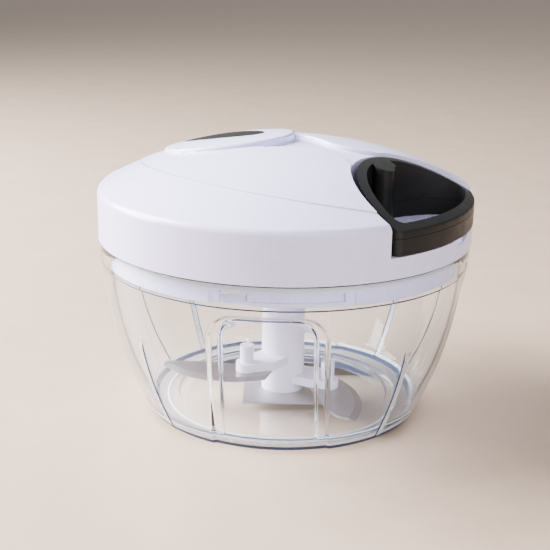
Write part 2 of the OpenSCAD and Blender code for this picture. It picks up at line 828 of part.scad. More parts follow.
module drive_cup()
    color([0.86, 0.86, 0.83])
        difference() {
            union() {
                rod(cup_r, cup_z, cup_floor);
                translate([0, 0, cup_floor - root]) linear_extrude(cup_wall_h + root)
                    difference() {
                        circle(cup_r);
                        ratchet_hollow(0);
                    }
                rod(cup_boss_r, cup_z, cup_floor + 2.4);
                rod(spindle_r, hub_top + 0.6, cup_z + root);
                rod(dog_core_r, spindle_end, hub_top + 1);
                for (k = [0 : dog_count - 1])
                    sector(dog_core_r - root, spindle_r, spindle_end, hub_top + 1,
                           k * 360 / dog_count - dog_arc / 2, k * 360 / dog_count + dog_arc / 2);
            }
            rod(axle_r + run_gap, axle_z - 0.2, cup_floor + 3);
        }

// One blade bracket and its peg, with the peg on +X
module bracket(z) {
    translate([0, 0, z]) linear_extrude(bracket_t) {
        translate([peg_ring_r, 0]) circle(bracket_r);
        polygon([[hub_r / 2, -hub_r * 0.6], [peg_ring_r, -bracket_r], [peg_ring_r, bracket_r],
                 [hub_r * 1.6, hub_r * 0.95], [hub_r / 2, hub_r * 0.85]]);
    }
    translate([peg_ring_r, 0]) rod(peg_r, z + bracket_t - root, z + bracket_t + peg_h);
}

function blade_az(i) = [lower_blade_az, middle_blade_az][i];
function blade_z(i) = lowest_blade_z + blade_rise * i;

module blade_hub()
    color(white)
        difference() {
            union() {
                rod(hub_r, hub_z, hub_top);
                rod(nose_r, scraper_z(), hub_z + root);
                for (i = [0 : blade_count - 1])
                    rotate(blade_az(i)) bracket(blade_z(i) + blade_t);
            }
            rod(pin_r + run_gap, scraper_z() - 1, floor_z + pin_h + 1);
            difference() {
                rod(socket_r, socket_z, hub_top + 1);
                for (k = [0 : dog_count - 1])
                    sector(dog_core_r + part_gap, socket_r + root, socket_z - 1, hub_top - 1.5,
                           k * 360 / dog_count + dog_arc / 2 + dog_play,
                           k * 360 / dog_count + dog_arc * 1.5 + dog_play);
            }
            for (i = [0 : blade_count - 1])
                rotate(blade_az(i)) translate([peg_ring_r, 0])
                    rod(rivet_r + seat_gap, blade_z(i) - 1, blade_z(i) + blade_t + bracket_t + root);
        }

// A leaf of two arcs, cut straight at its root and its end, with a bevel ground along the leading edge
module blade(i) {
    edge_r = blade_edge_r[i];
    edge_c = arc_centre(blade_tip[i], root_out[i], edge_r);
    end_in = blade_tip[i] + blade_end[i];
    back_c = arc_centre(root_in[i], end_in, back_r);
    root_way = blade_reach / 3 * (root_out[i] - root_in[i]) / norm(root_out[i] - root_in[i]);
    end_way = blade_reach / 3 * blade_end[i] / norm(blade_end[i]);
    color(steel)
        rotate(blade_az(i)) translate([0, 0, blade_z(i)])
            difference() {
                linear_extrude(blade_t)
                    intersection() {
                        translate(edge_c) circle(edge_r, $fn = 240);
                        translate(back_c) circle(back_r, $fn = 360);
                        polygon([root_in[i] - root_way, root_out[i] + root_way, blade_tip[i] - end_way,
                                 end_in + end_way]);
                    }
                translate(edge_c) rotate_extrude($fn = 240)
                    polygon([[edge_r - bevel_w, blade_t], [edge_r + 1, blade_t / 4 - blade_t / bevel_w],
                             [edge_r + 1, blade_t + 1], [edge_r - bevel_w, blade_t + 1]]);
                translate([peg_ring_r, 0]) rod(rivet_r + seat_gap, -1, blade_t + 1);
            }
}

module lower_blade() blade(0);

module middle_blade() blade(1);

module scraper_blade()
    color(steel)
        rotate(scraper_az)
            difference() {
                translate([scraper_in, -scraper_l / 2, scraper_z()]) cube([scraper_w, scraper_l, scraper_t]);
                rod(nose_r + seat_gap, scraper_z() - 1, scraper_z() + scraper_t + 1);
            }

module blade_rivets()
    color(steel)
        for (i = [0 : blade_count - 1])
            rotate(blade_az(i)) translate([peg_ring_r, 0]) {
                rod(rivet_r, blade_z(i) - rivet_head_h / 2, blade_z(i) + blade_t + bracket_t);
                rod(rivet_head_r, blade_z(i) - rivet_head_h, blade_z(i));
            }

// Centre of a rounding at the corner between a circle round the pocket's middle and one round the lid's
function corner_at(r1, r2, round_r) =
    let (d1 = r1 - round_r, d2 = r2 - round_r, x = (d2 * d2 - d1 * d1 + pocket_x * pocket_x) / (2 * pocket_x))
    [x, sqrt(d2 * d2 - x * x)];

// What a rounding takes off the two corners between the pocket's circle and the lid's
module corner_cut(r1, r2, round_r) {
    at = corner_at(r1, r2, round_r);
    for (s = [-1, 1]) {
        c = [at[0], s * at[1]];
        u1 = (c - [pocket_x, 0]) / (r1 - round_r);
        u2 = c / (r2 - round_r);
        difference() {
            polygon([c, c + 2 * round_r * u1, c + 3 * round_r * (u1 + u2), c + 2 * round_r * u2]);
            translate(c) circle(round_r * crossing);
        }
    }
}

// The handle's ring with its cord post, before it is split into two shells
module handle_ring() {
    rim_r = handle_r - handle_rim;
    difference() {
        intersection() {
            translate([pocket_x, 0]) rotate(start_az / 2) rod(handle_r, handle_z, far);
            rotate(start_az) rotate_extrude()
                dome_section(handle_front_r, handle_z, handle_crown, handle_top_r, handle_edge);
        }
        translate([0, 0, handle_z - 1]) linear_extrude(far)
            corner_cut(handle_r, handle_front_r, handle_corner);
        translate([0, 0, handle_z - 1]) linear_extrude(far)
            difference() {
                intersection() {
                    translate([pocket_x, 0]) circle(rim_r);
                    circle(handle_front_r - handle_front);
                }
                corner_cut(rim_r, handle_front_r - handle_front, loop_corner);
                translate(post) circle(post_r);
                difference() {
                    union() {
                        translate(web) circle(web_r);
                        polygon([[web_root[0], 0], post, web + [web_r / 2, web_r * 0.866], web_root]);
                    }
                    translate(web_fillet) circle(web_fillet_r);
                }
            }
        bar([handle_back_x - root, 0, cord_z], [post_x, 0, cord_z], cord_r + hole_gap);
        translate([post_x, 0, cord_z]) sphere(knot_r + hole_gap);
    }
}

// The handle's screws stand in the middle of its two front corners
module at_grip_screws() {
    outer = corner_at(handle_r, handle_front_r, handle_corner);
    inner = corner_at(handle_r - handle_rim, handle_front_r - handle_front, loop_corner);
    way = (outer - inner) / norm(outer - inner);
    at = (outer + inner + (handle_corner + loop_corner) * way) / 2;
    for (s = [-1, 1])
        translate([at[0], s * at[1]]) children();
}

module handle_upper()
    color(black)
        difference() {
            handle_ring();
            rod(far, 0, cord_z + parting);
            at_grip_screws() rod(grip_screw_r + seat_gap, handle_z, cord_z + 2.2);
        }

module handle_lower()
    color(black)
        difference() {
            handle_ring();
            rod(far, cord_z, far);
            at_grip_screws() {
                rod(grip_screw_r + seat_gap, handle_z - 1, far);
                rod(grip_screw_head_r + seat_gap, handle_z - 1, handle_z + 1.4);
            }
        }

module handle_screws()
    color(steel)
        at_grip_screws() {
            rod(grip_screw_r, handle_z + 0.5, cord_z + 2);
            rod(grip_screw_head_r, handle_z + 0.4, handle_z + 1.4);
        }

module cord_knot()
    color(cord_white) {
        bar([eyelet_out + part_gap, 0, cord_z], [post_x, 0, cord_z], cord_r);
        translate([post_x, 0, cord_z]) sphere(knot_r);
    }

bowl();
bowl_pin();
lid_seal();
lid_base();
top_cover();
badge();
cord_eyelet();
spindle_bush();
reel_axle();
cover_screws();
cord_run();
cord_reel();
reel_flange();
pull_cord();
recoil_spring();
pawl_pins();
pawl_a();
pawl_b();
drive_cup();
blade_hub();
lower_blade();
middle_blade();
scraper_blade();
blade_rivets();
handle_upper();
handle_lower();
handle_screws();
cord_knot();
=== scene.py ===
# %% [markdown]
# # A pull-string food chopper
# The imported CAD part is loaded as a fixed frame: a clear bowl, a white domed lid, a black pull handle and
# the blades. This lesson dresses it: edges get the small rounds that moulded plastic has, every surface
# gets a procedural finish, and a camera and soft lights look at it the way a product photograph does.

# %% Load the frame
import bpy
import bmesh
import json
import math
from collections import Counter, namedtuple
from mathutils import Matrix, Vector


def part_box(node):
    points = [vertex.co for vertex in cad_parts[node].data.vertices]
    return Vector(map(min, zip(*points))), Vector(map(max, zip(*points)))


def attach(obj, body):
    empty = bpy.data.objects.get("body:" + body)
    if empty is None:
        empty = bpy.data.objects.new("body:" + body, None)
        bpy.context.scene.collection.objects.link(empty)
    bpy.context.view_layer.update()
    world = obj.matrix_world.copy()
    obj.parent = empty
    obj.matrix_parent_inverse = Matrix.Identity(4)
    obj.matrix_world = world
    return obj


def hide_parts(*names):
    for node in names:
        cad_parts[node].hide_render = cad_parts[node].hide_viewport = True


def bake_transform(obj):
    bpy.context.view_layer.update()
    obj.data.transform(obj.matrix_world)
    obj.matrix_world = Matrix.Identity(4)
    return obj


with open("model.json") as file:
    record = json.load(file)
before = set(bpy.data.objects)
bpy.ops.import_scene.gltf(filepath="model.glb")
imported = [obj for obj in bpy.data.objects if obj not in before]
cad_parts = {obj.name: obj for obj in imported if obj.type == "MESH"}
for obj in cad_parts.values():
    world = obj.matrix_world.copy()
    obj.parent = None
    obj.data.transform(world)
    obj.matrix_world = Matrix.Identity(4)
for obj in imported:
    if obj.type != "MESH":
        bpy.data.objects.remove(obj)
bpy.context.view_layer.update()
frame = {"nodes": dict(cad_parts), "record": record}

# %% [markdown]
# ## The camera
# The lens, place and tilt were worked out from the photograph's ellipses: the rims of lid, collar and
# foot are circles, so their drawn shapes give the height of the eye, and how much nearer things grow
# gives the distance. A camera can be turned by angles, but such a fit gives its right and up ways, so
# they make its matrix directly.

# %% Camera
PHOTO_WIDTH_PX = 550
FOCAL_PX = 1143.21
SENSOR_MM = 36.0
NEAREST_SEEN = 0.01
CAMERA_PLACE = Vector((0.17597, -0.33070, 0.15984))
CAMERA_RIGHT = Vector((0.87688, 0.48056, 0.01253))
CAMERA_UP = Vector((-0.15215, 0.25271, 0.95551))
camera_data = bpy.data.cameras.new("camera")
camera_data.sensor_width = SENSOR_MM
camera_data.lens = camera_data.sensor_width * FOCAL_PX / PHOTO_WIDTH_PX
camera_data.clip_start = NEAREST_SEEN
camera = bpy.data.objects.new("camera", camera_data)
bpy.context.scene.collection.objects.link(camera)
camera_turn = Matrix((CAMERA_RIGHT, CAMERA_UP, CAMERA_RIGHT.cross(CAMERA_UP))).transposed()
camera.matrix_world = Matrix.Translation(CAMERA_PLACE) @ camera_turn.to_4x4()
bpy.context.scene.camera = camera
print("lens", round(camera_data.lens, 2), "mm")

# %% [markdown]
# ## Where every finish starts
# No surface of the real chopper is quite even: plastic has a faint mottle, steel has streaks, and both
# are glossier in one place than in another. Image textures could show that, but noise needs no file and
# no unwrapping. Every finish reads Object coordinates, which are metres here, so a grain keeps its real
# size on each piece.

# %% Finish helpers: a shader and its noise
def new_finish(name):
    """A material with a Principled shader and Object coordinates, ready for textures."""
    material = bpy.data.materials.new(name)
    material.use_nodes = True
    nodes = material.node_tree.nodes
    shader = nodes["Principled BSDF"]
    place = nodes.new("ShaderNodeTexCoord").outputs["Object"]
    print("finish", name)
    return material, nodes, material.node_tree.links, shader, place


def noise(nodes, links, place, scale, detail=3.0, stretch=None):
    """Noise in metres: scale is how many blotches fit in one metre."""
    if stretch is not None:
        mapping = nodes.new("ShaderNodeMapping")
        mapping.inputs["Scale"].default_value = stretch
        links.new(place, mapping.inputs["Vector"])
        place = mapping.outputs["Vector"]
    texture = nodes.new("ShaderNodeTexNoise")
    texture.inputs["Scale"].default_value = scale
    texture.inputs["Detail"].default_value = detail
    links.new(place, texture.inputs["Vector"])
    return texture.outputs["Fac"]


# %% [markdown]
# A noise value rarely comes near 0 or 1. Three small helpers spread its middle part over what a finish
# needs: a span of roughness, two shades of a colour, or a relief. A bump gives the relief, because grain
# that is thinner than a hair would need millions of faces as real shape.

# %% Finish helpers: roughness, colour and relief from a value
NOISE_LOW = 0.3
NOISE_HIGH = 0.7


def between(nodes, links, value, low, high):
    """Spreads a noise value over the span from low to high."""
    spread = nodes.new("ShaderNodeMapRange")
    spread.inputs["From Min"].default_value = NOISE_LOW
    spread.inputs["From Max"].default_value = NOISE_HIGH
    spread.inputs["To Min"].default_value = low
    spread.inputs["To Max"].default_value = high
    links.new(value, spread.inputs["Value"])
    return spread.outputs["Result"]


def tint(nodes, links, value, dark, light):
    """Two shades of one colour, mixed by a value."""
    ramp = nodes.new("ShaderNodeValToRGB")
    ramp.color_ramp.elements[0].position = NOISE_LOW
    ramp.color_ramp.elements[0].color = (*dark, 1)
    ramp.color_ramp.elements[1].position = NOISE_HIGH
    ramp.color_ramp.elements[1].color = (*light, 1)
    links.new(value, ramp.inputs["Fac"])
    return ramp.outputs["Color"]


def grain(nodes, links, shader, value, depth, strength):
    """Turns a value into a fine relief on the surface."""
    bump = nodes.new("ShaderNodeBump")
    bump.inputs["Distance"].default_value = depth
    bump.inputs["Strength"].default_value = strength
    links.new(value, bump.inputs["Height"])
    links.new(bump.outputs["Normal"], shader.inputs["Normal"])


print("noise is spread from", NOISE_LOW, "to", NOISE_HIGH)

# %% [markdown]
# ## Moulded plastic
# Lid, hub, handle and the parts inside the lid are moulded. The lid is glossy with a cool white, the
# handle is a satin black, and the hidden parts have the plastic's natural colour. One function makes them
# all, because they differ only in colour, gloss and grain. A thin coat gives the lid the second, sharper
# shine of a polished mould.

# %% Finish: moulded plastic
MOTTLE_PER_M = 45
GLOSS_PER_M = 260
GRAIN_DETAIL = 2.0
GRAIN_STRENGTH = 0.35
COAT_ROUGH = 0.08
POLISHED = (1500, 0.00001)


def moulded(name, dark, light, rough, grain_scale, grain_depth, coat=0.0, shine=0.5):
    """Moulded plastic: a faint mottle in the colour, uneven gloss and a fine grain."""
    material, nodes, links, shader, place = new_finish(name)
    mottle = noise(nodes, links, place, MOTTLE_PER_M)
    gloss = noise(nodes, links, place, GLOSS_PER_M)
    relief = noise(nodes, links, place, grain_scale, GRAIN_DETAIL)
    links.new(tint(nodes, links, mottle, dark, light), shader.inputs["Base Color"])
    links.new(between(nodes, links, gloss, *rough), shader.inputs["Roughness"])
    grain(nodes, links, shader, relief, grain_depth, GRAIN_STRENGTH)
    shader.inputs["Coat Weight"].default_value = coat
    shader.inputs["Coat Roughness"].default_value = COAT_ROUGH
    shader.inputs["Specular IOR Level"].default_value = shine
    return material


white_gloss = moulded("white_gloss", (0.68, 0.655, 0.96), (0.71, 0.685, 0.985), (0.24, 0.32), *POLISHED,
                      coat=0.2)
hub_white = moulded("hub_white", (0.72, 0.695, 0.83), (0.76, 0.735, 0.87), (0.30, 0.38), *POLISHED)
black_satin = moulded("black_satin", (0.0085, 0.0088, 0.0090), (0.0115, 0.0118, 0.0122), (0.33, 0.45),
                      2500, 0.00003, shine=0.22)
natural = moulded("natural_plastic", (0.62, 0.62, 0.60), (0.70, 0.70, 0.67), (0.4, 0.5), 1200, 0.00002)
silicone = moulded("silicone", (0.60, 0.62, 0.66), (0.66, 0.68, 0.72), (0.45, 0.55), 1500, 0.00002)

# %% [markdown]
# ## Metal
# Blades, pins, badge and bush are metal. Rolled and ground metal has fine streaks along one direction,
# which noise gives when it is stretched that way. The same streaks drive colour, roughness and relief, so
# that they agree. The blades' ground edge has its streaks across the blade, as a grinding wheel leaves
# them.

# %% Finish: metal
STREAKS_PER_M = 1800
STREAK_DETAIL = 4.0
STREAK_DEPTH = 0.000004
STREAK_STRENGTH = 0.25
ALONG_X = (0.06, 1.0, 1.0)
ALONG_Y = (1.0, 0.06, 1.0)
ALONG_Z = (1.0, 1.0, 0.08)


def metal(name, dark, light, rough, streak):
    """Metal with brushed streaks that run along one direction."""
    material, nodes, links, shader, place = new_finish(name)
    lines = noise(nodes, links, place, STREAKS_PER_M, STREAK_DETAIL, streak)
    links.new(tint(nodes, links, lines, dark, light), shader.inputs["Base Color"])
    links.new(between(nodes, links, lines, *rough), shader.inputs["Roughness"])
    grain(nodes, links, shader, lines, STREAK_DEPTH, STREAK_STRENGTH)
    shader.inputs["Metallic"].default_value = 1.0
    return material


blade_steel = metal("blade_steel", (0.28, 0.272, 0.275), (0.33, 0.322, 0.325), (0.30, 0.40), ALONG_X)
plate_steel = metal("plate_steel", (0.37, 0.375, 0.375), (0.42, 0.425, 0.425), (0.48, 0.58), ALONG_X)
ground_steel = metal("ground_steel", (0.19, 0.185, 0.19), (0.23, 0.225, 0.23), (0.30, 0.40), ALONG_Y)
pin_steel = metal("pin_steel", (0.50, 0.51, 0.53), (0.60, 0.61, 0.63), (0.20, 0.30), ALONG_Z)
badge_metal = metal("badge_metal", (0.050, 0.048, 0.044), (0.080, 0.077, 0.070), (0.30, 0.40), ALONG_X)
bush_brass = metal("bush_brass", (0.50, 0.36, 0.16), (0.62, 0.47, 0.24), (0.25, 0.35), ALONG_Z)

# %% [markdown]
# ## Painted shade on the seam of the lid's raised field
# The raised field ends in a step less than half a millimetre high, which the photograph shows as a fine dark
# line. That line is painted shade on the step's faces. The step's slope would shine on the main light's side,
# so the painted shade is darker there. It is graded along the lid's X axis, because two separate finishes
# would meet in a visible jump.

# %% Finish: painted shade on the seam
SEAM_DARK_X = -0.045
SEAM_LIGHT_X = 0.02
SEAM_ROUGH = (0.45, 0.55)
SEAM_SHINE = 0.2


def painted_seam_shade_plastic(name, dark, light):
    """White plastic with painted shade that darkens towards -X, the main light's side, where a seam's slope
    would shine.
    """
    material, nodes, links, shader, place = new_finish(name)
    axes = nodes.new("ShaderNodeSeparateXYZ")
    links.new(place, axes.inputs["Vector"])
    along = nodes.new("ShaderNodeMapRange")
    along.inputs["From Min"].default_value = SEAM_DARK_X
    along.inputs["From Max"].default_value = SEAM_LIGHT_X
    along.inputs["To Min"].default_value = NOISE_LOW
    along.inputs["To Max"].default_value = NOISE_HIGH
    links.new(axes.outputs["X"], along.inputs["Value"])
    gloss = noise(nodes, links, place, GLOSS_PER_M)
    links.new(tint(nodes, links, along.outputs["Result"], dark, light), shader.inputs["Base Color"])
    links.new(between(nodes, links, gloss, *SEAM_ROUGH), shader.inputs["Roughness"])
    shader.inputs["Specular IOR Level"].default_value = SEAM_SHINE
    return material


# The seam's colour is painted shade: dark towards -X and lid white towards +X.
seam_painted_shade = painted_seam_shade_plastic("seam_painted_shade", (0.20, 0.19, 0.29), (0.70, 0.68, 0.96))

# %% [markdown]
# ## Clear plastic
# The bowl is clear. Its faces take nearly no colour, and only where one looks a long way through it,
# along the foot, the collar and the ribs, does it turn blue-grey. A tinted surface would colour every
# face alike, so the surface stays colourless and the colour sits in the volume, as an absorption that
# grows with the length of the way.

# %% Finish: clear plastic
CLEAR_DARK = (0.97, 0.975, 0.985)
CLEAR_LIGHT = (0.985, 0.99, 0.995)
CLEAR_MOTTLE_PER_M = 30
CLEAR_GLOSS_PER_M = 120
CLEAR_IOR = 1.5
RIPPLES_PER_M = 60
RIPPLE_DETAIL = 1.0
RIPPLE_DEPTH = 0.00004
RIPPLE_STRENGTH = 0.25
VOLUME_COLOUR = (0.30, 0.50, 0.72, 1)
VOLUME_DENSITY = 45


def clear_plastic(name, rough, clearness):
    """Clear moulded plastic with a blue-grey body colour and a slight ripple."""
    material, nodes, links, shader, place = new_finish(name)
    mottle = noise(nodes, links, place, CLEAR_MOTTLE_PER_M)
    gloss = noise(nodes, links, place, CLEAR_GLOSS_PER_M)
    ripple = noise(nodes, links, place, RIPPLES_PER_M, RIPPLE_DETAIL)
    links.new(tint(nodes, links, mottle, CLEAR_DARK, CLEAR_LIGHT), shader.inputs["Base Color"])
    links.new(between(nodes, links, gloss, *rough), shader.inputs["Roughness"])
    grain(nodes, links, shader, ripple, RIPPLE_DEPTH, RIPPLE_STRENGTH)
    shader.inputs["Transmission Weight"].default_value = clearness
    shader.inputs["IOR"].default_value = CLEAR_IOR
    body = nodes.new("ShaderNodeVolumeAbsorption")
    body.inputs["Color"].default_value = VOLUME_COLOUR
    body.inputs["Density"].default_value = VOLUME_DENSITY
    links.new(body.outputs["Volume"], nodes["Material Output"].inputs["Volume"])
    return material


clear_bowl = clear_plastic("clear_bowl", (0.0, 0.03), 1.0)
# Painted highlight: half of this finish is a pale diffuse white, which lights up the ribs' crests and the band
# over the foot's line.
half_clear_painted_light = clear_plastic("half_clear_painted_light", (0.2, 0.3), 0.5)

# %% [markdown]
# ## Edges of the clear bowl
# Light that runs round inside narrow edges of clear plastic hardly reaches the eye, so the real collar, foot
# and ribs are drawn with dark blue lines. A renderer would need very many bounces for that. A dark finish on
# the narrow faces stands in for it as painted shade. The foot's underside gets a painted floor tone and the
# ring inside it a pale painted light, which stand in for what shows through the clear foot.

# %% Finish: painted edge shade and painted light on the foot
EDGE_ROUGH = (0.35, 0.45)
FOOT_PAINT_ROUGH = (0.5, 0.6)
EDGE_SHINE = 0.1
# Painted light and shade: the foot's underside has the floor's tone, the ring inside the foot a pale tone, and
# the narrow edges a dark blue shade.
foot_painted_floor_tone = moulded("foot_painted_floor_tone", (0.27, 0.235, 0.21), (0.31, 0.275, 0.25), FOOT_PAINT_ROUGH, *POLISHED,
                     shine=EDGE_SHINE)
ring_painted_light = moulded("ring_painted_light", (0.60, 0.62, 0.67), (0.66, 0.68, 0.73), FOOT_PAINT_ROUGH, *POLISHED,
                     shine=EDGE_SHINE)
edge_shade = moulded("edge_shade", (0.015, 0.036, 0.088), (0.019, 0.044, 0.108), EDGE_ROUGH, *POLISHED,
                     shine=EDGE_SHINE)

# %% [markdown]
# ## Braided cord
# The pull cord is a thin braid. It could be modelled yarn by yarn, but it is under two millimetres thick.
# Two sets of slanted bands cross each other on it instead, and where they cross the yarn stands up, so the
# same bands give the relief and a painted shade between the raised yarns.

# %% Finish: braided cord
BRAID_LEAN = math.radians(45)
BRAID_WOBBLE = 0.4
BRAID_DEPTH = 0.0002
BRAID_STRENGTH = 0.8
BRAID_ROUGH = 0.8


def braid(name, dark, light, pitch):
    """Crossing slanted bands, finer with a larger pitch."""
    material, nodes, links, shader, place = new_finish(name)
    bands = []
    for side in (1.0, -1.0):
        slant = nodes.new("ShaderNodeMapping")
        slant.inputs["Rotation"].default_value = (side * BRAID_LEAN, 0, side * BRAID_LEAN)
        wave = nodes.new("ShaderNodeTexWave")
        wave.inputs["Scale"].default_value = pitch
        wave.inputs["Distortion"].default_value = BRAID_WOBBLE
        links.new(place, slant.inputs["Vector"])
        links.new(slant.outputs["Vector"], wave.inputs["Vector"])
        bands.append(wave.outputs["Fac"])
    cross = nodes.new("ShaderNodeMath")
    cross.operation = "MAXIMUM"
    links.new(bands[0], cross.inputs[0])
    links.new(bands[1], cross.inputs[1])
    # Painted shade: the bands' low parts, between the yarns, are darker.
    links.new(tint(nodes, links, cross.outputs["Value"], dark, light), shader.inputs["Base Color"])
    grain(nodes, links, shader, cross.outputs["Value"], BRAID_DEPTH, BRAID_STRENGTH)
    shader.inputs["Roughness"].default_value = BRAID_ROUGH
    return material


cord_braid = braid("cord_braid", (0.42, 0.42, 0.40), (0.74, 0.74, 0.71), 420)

# %% [markdown]
# ## Which node has which finish
# Nodes that are right as they are keep their shape and only get a finish. The finishes could be set one
# by one, but a table shows at a glance which parts are made of the same stuff, and a loop hands them out.

# %% Hand out the finishes
FINISH_OF = {
    "bowl": clear_bowl, "bowl_pin": pin_steel, "lid_seal": silicone, "lid_base": white_gloss,
    "top_cover": white_gloss, "badge": badge_metal, "cord_eyelet": pin_steel, "spindle_bush": bush_brass,
    "reel_axle": pin_steel, "cover_screws": pin_steel, "cord_run": cord_braid, "cord_reel": natural,
    "reel_flange": natural, "pull_cord": cord_braid, "recoil_spring": pin_steel, "pawl_pins": pin_steel,
    "pawl_a": natural, "pawl_b": natural, "drive_cup": natural, "blade_hub": hub_white,
    "lower_blade": blade_steel, "middle_blade": blade_steel, "scraper_blade": plate_steel,
    "blade_rivets": pin_steel, "handle_upper": black_satin, "handle_lower": black_satin,
    "handle_screws": pin_steel, "cord_knot": cord_braid,
}
for node, finish in FINISH_OF.items():
    slots = frame["nodes"][node].data.materials
    slots.clear()
    slots.append(finish)
print("finishes on", len(FINISH_OF), "nodes")


# %% [markdown]
# ## Putting a piece in the scene
# Every new piece ends the same way: its mesh gets smooth shading with sharp edges kept, its object stays at
# the origin, it is attached to the body that it rides on, and the nodes that it stands for are hidden. One
# helper does that for all of them, so that no piece is forgotten.

# %% Helper: finish a piece
def piece_from(work, name, finish, body, stands_for, sharp_deg):
    """Makes a piece of a bmesh that is in metres, and frees the bmesh. With no body, it rides on none."""
    mesh = bpy.data.meshes.new(name)
    work.to_mesh(mesh)
    work.free()
    for polygon in mesh.polygons:
        polygon.use_smooth = True
    mesh.set_sharp_from_angle(angle=math.radians(sharp_deg))
    mesh.materials.append(finish)
    piece = bpy.data.objects.new(name, mesh)
    bpy.context.scene.collection.objects.link(piece)
    if body:
        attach(piece, body)
    if stands_for:
        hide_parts(*stands_for)
    print(name, len(mesh.polygons), "faces")
    return piece


# %% [markdown]
# ## The clear bowl
# On the real bowl every edge is soft: the sunk panels have a slope about a millimetre wide, which draws
# the bright and dark lines of the photograph, and the floor runs into the wall in a round. Sharp CAD
# edges can't show that, so the bowl is made again. Its sizes are the construction's. The wall is an arc,
# so one formula gives its radius at any height.

# %% Bowl: sizes in millimetres
MM = 0.001
FOOT_R = 46.5
FOOT_BEVEL = 1.0
FOOT_RING_R = 40.5
FOOT_HOLLOW = 0.9
WALL_R = 61.5
WALL_TOP = 52.4
WALL_T = 2.0
BULGE_R = 120.0
COLLAR_R = 61.9
COLLAR_TOP = 59.6
MOUTH_R = 59.6
GROOVE_WIDE = 0.55
GROOVE_DEEP = 0.45

foot = Vector((FOOT_R, 0))
shoulder = Vector((WALL_R, WALL_TOP))
chord = shoulder - foot
rise = math.sqrt(BULGE_R ** 2 - chord.length_squared / 4)
bulge = (foot + shoulder) / 2 + rise * Vector((-chord.y, chord.x)) / chord.length


def wall_at(z, depth=0.0):
    """Radius of the wall at a height, a depth inside its outer face."""
    return bulge.x + math.sqrt((BULGE_R - depth) ** 2 - (z - bulge.y) ** 2)


print("wall at half height", round(wall_at(WALL_TOP / 2), 2), "mm")

# %% [markdown]
# The bowl is round, so a half section spun once round the axis makes it. The section is drawn as a wire,
# and a vertex bevel rounds its corners. A rounding is a number at a corner, which is easier to change
# than arcs drawn point by point.

# %% Bowl: helpers for a wire and its spin
ROUND_SEGMENTS = 5
MERGE_MM = 0.001


def heights(*spans):
    """Heights in spans of (from, to, step), lowest first."""
    return [low + (high - low) * i / round((high - low) / step)
            for low, high, step in spans for i in range(round((high - low) / step))]


def wire(outline):
    """A bmesh with an open wire in the XZ plane. A corner of the outline is (radius, height, rounding)."""
    work = bmesh.new()
    verts = [work.verts.new((r, 0, z)) for r, z, _ in outline]
    for near, far in zip(verts, verts[1:]):
        work.edges.new((near, far))
    for rounding in sorted({corner[2] for corner in outline if corner[2]}):
        corners = [v for v, corner in zip(verts, outline) if corner[2] == rounding]
        bmesh.ops.bevel(work, geom=corners, offset=rounding, offset_type="OFFSET", segments=ROUND_SEGMENTS,
                        profile=0.5, affect="VERTICES", material=-1)
    print("wire", len(work.verts), "vertices")
    return work


def spun(work, steps):
    """Spins a wire once round the axis and closes its poles."""
    bmesh.ops.spin(work, geom=work.verts[:] + work.edges[:], cent=(0, 0, 0), axis=(0, 0, 1), dvec=(0, 0, 0),
                   angle=math.tau, steps=steps, use_merge=True, use_duplicate=False)
    bmesh.ops.remove_doubles(work, verts=work.verts, dist=MERGE_MM)
    bmesh.ops.recalc_face_normals(work, faces=work.faces)
    return work


# %% [markdown]
# The outline runs from the middle of the underside out to the foot, up the wall, over the collar's rim
# and back down the inside to the pin's hole. The rows of points lie closer together where a panel's top
# edge or the top of a rib will need them.

# %% Bowl: the half section, spun
FLOOR_Z = 2.6
STEP_Z = 3.4
DISH_R = 36.5
PIN_HOLE_R = 2.03
PIN_HOLE_Z = 1.4
LUG_LOW = 54.0
LUG_HIGH = 56.2
LINE_TOP = 2.05
RING_ROUND = 0.4
COLLAR_ROUND = 0.15
RIM_ROUND = 0.25
FLOOR_ROUND = 2.8
DISH_ROUND = 0.35
PIN_HOLE_ROUND = 0.2
OUTER_ROWS = ((2.2, 27.0, 1.3), (27.0, 35.0, 0.6), (35.0, 41.0, 1.2), (41.0, 51.8, 0.35))
INNER_ROWS = ((7.0, 41.0, 1.3), (41.0, 51.8, 0.35))
SECTORS = 4
STEPS_PER_SECTOR = 104

bowl_outline = [(0, FOOT_HOLLOW, 0), (FOOT_RING_R, FOOT_HOLLOW, RING_ROUND), (FOOT_RING_R, 0, RING_ROUND),
                (FOOT_R - FOOT_BEVEL / 4, 0, FOOT_BEVEL)]
bowl_outline += [(wall_at(z), z, 0) for z in [LINE_TOP] + heights(*OUTER_ROWS)]
bowl_outline += [(wall_at(WALL_TOP - GROOVE_WIDE), WALL_TOP - GROOVE_WIDE, 0),
                 (WALL_R - GROOVE_DEEP, WALL_TOP - GROOVE_WIDE / 2, 0), (COLLAR_R, WALL_TOP, COLLAR_ROUND),
                 (COLLAR_R, COLLAR_TOP, RIM_ROUND), (MOUTH_R, COLLAR_TOP, RIM_ROUND),
                 (MOUTH_R, LUG_HIGH, 0), (MOUTH_R, LUG_LOW, 0)]
bowl_outline += [(wall_at(z, WALL_T), z, 0) for z in reversed(heights(*INNER_ROWS))]
bowl_outline += [(wall_at(STEP_Z, WALL_T), STEP_Z, FLOOR_ROUND), (DISH_R, STEP_Z, DISH_ROUND),
                 (DISH_R, FLOOR_Z, DISH_ROUND), (PIN_HOLE_R, FLOOR_Z, PIN_HOLE_ROUND),
                 (PIN_HOLE_R, PIN_HOLE_Z, 0), (0, PIN_HOLE_Z, 0)]
bowl_work = spun(wire(bowl_outline), SECTORS * STEPS_PER_SECTOR)
print("spun bowl", len(bowl_work.verts), "vertices")

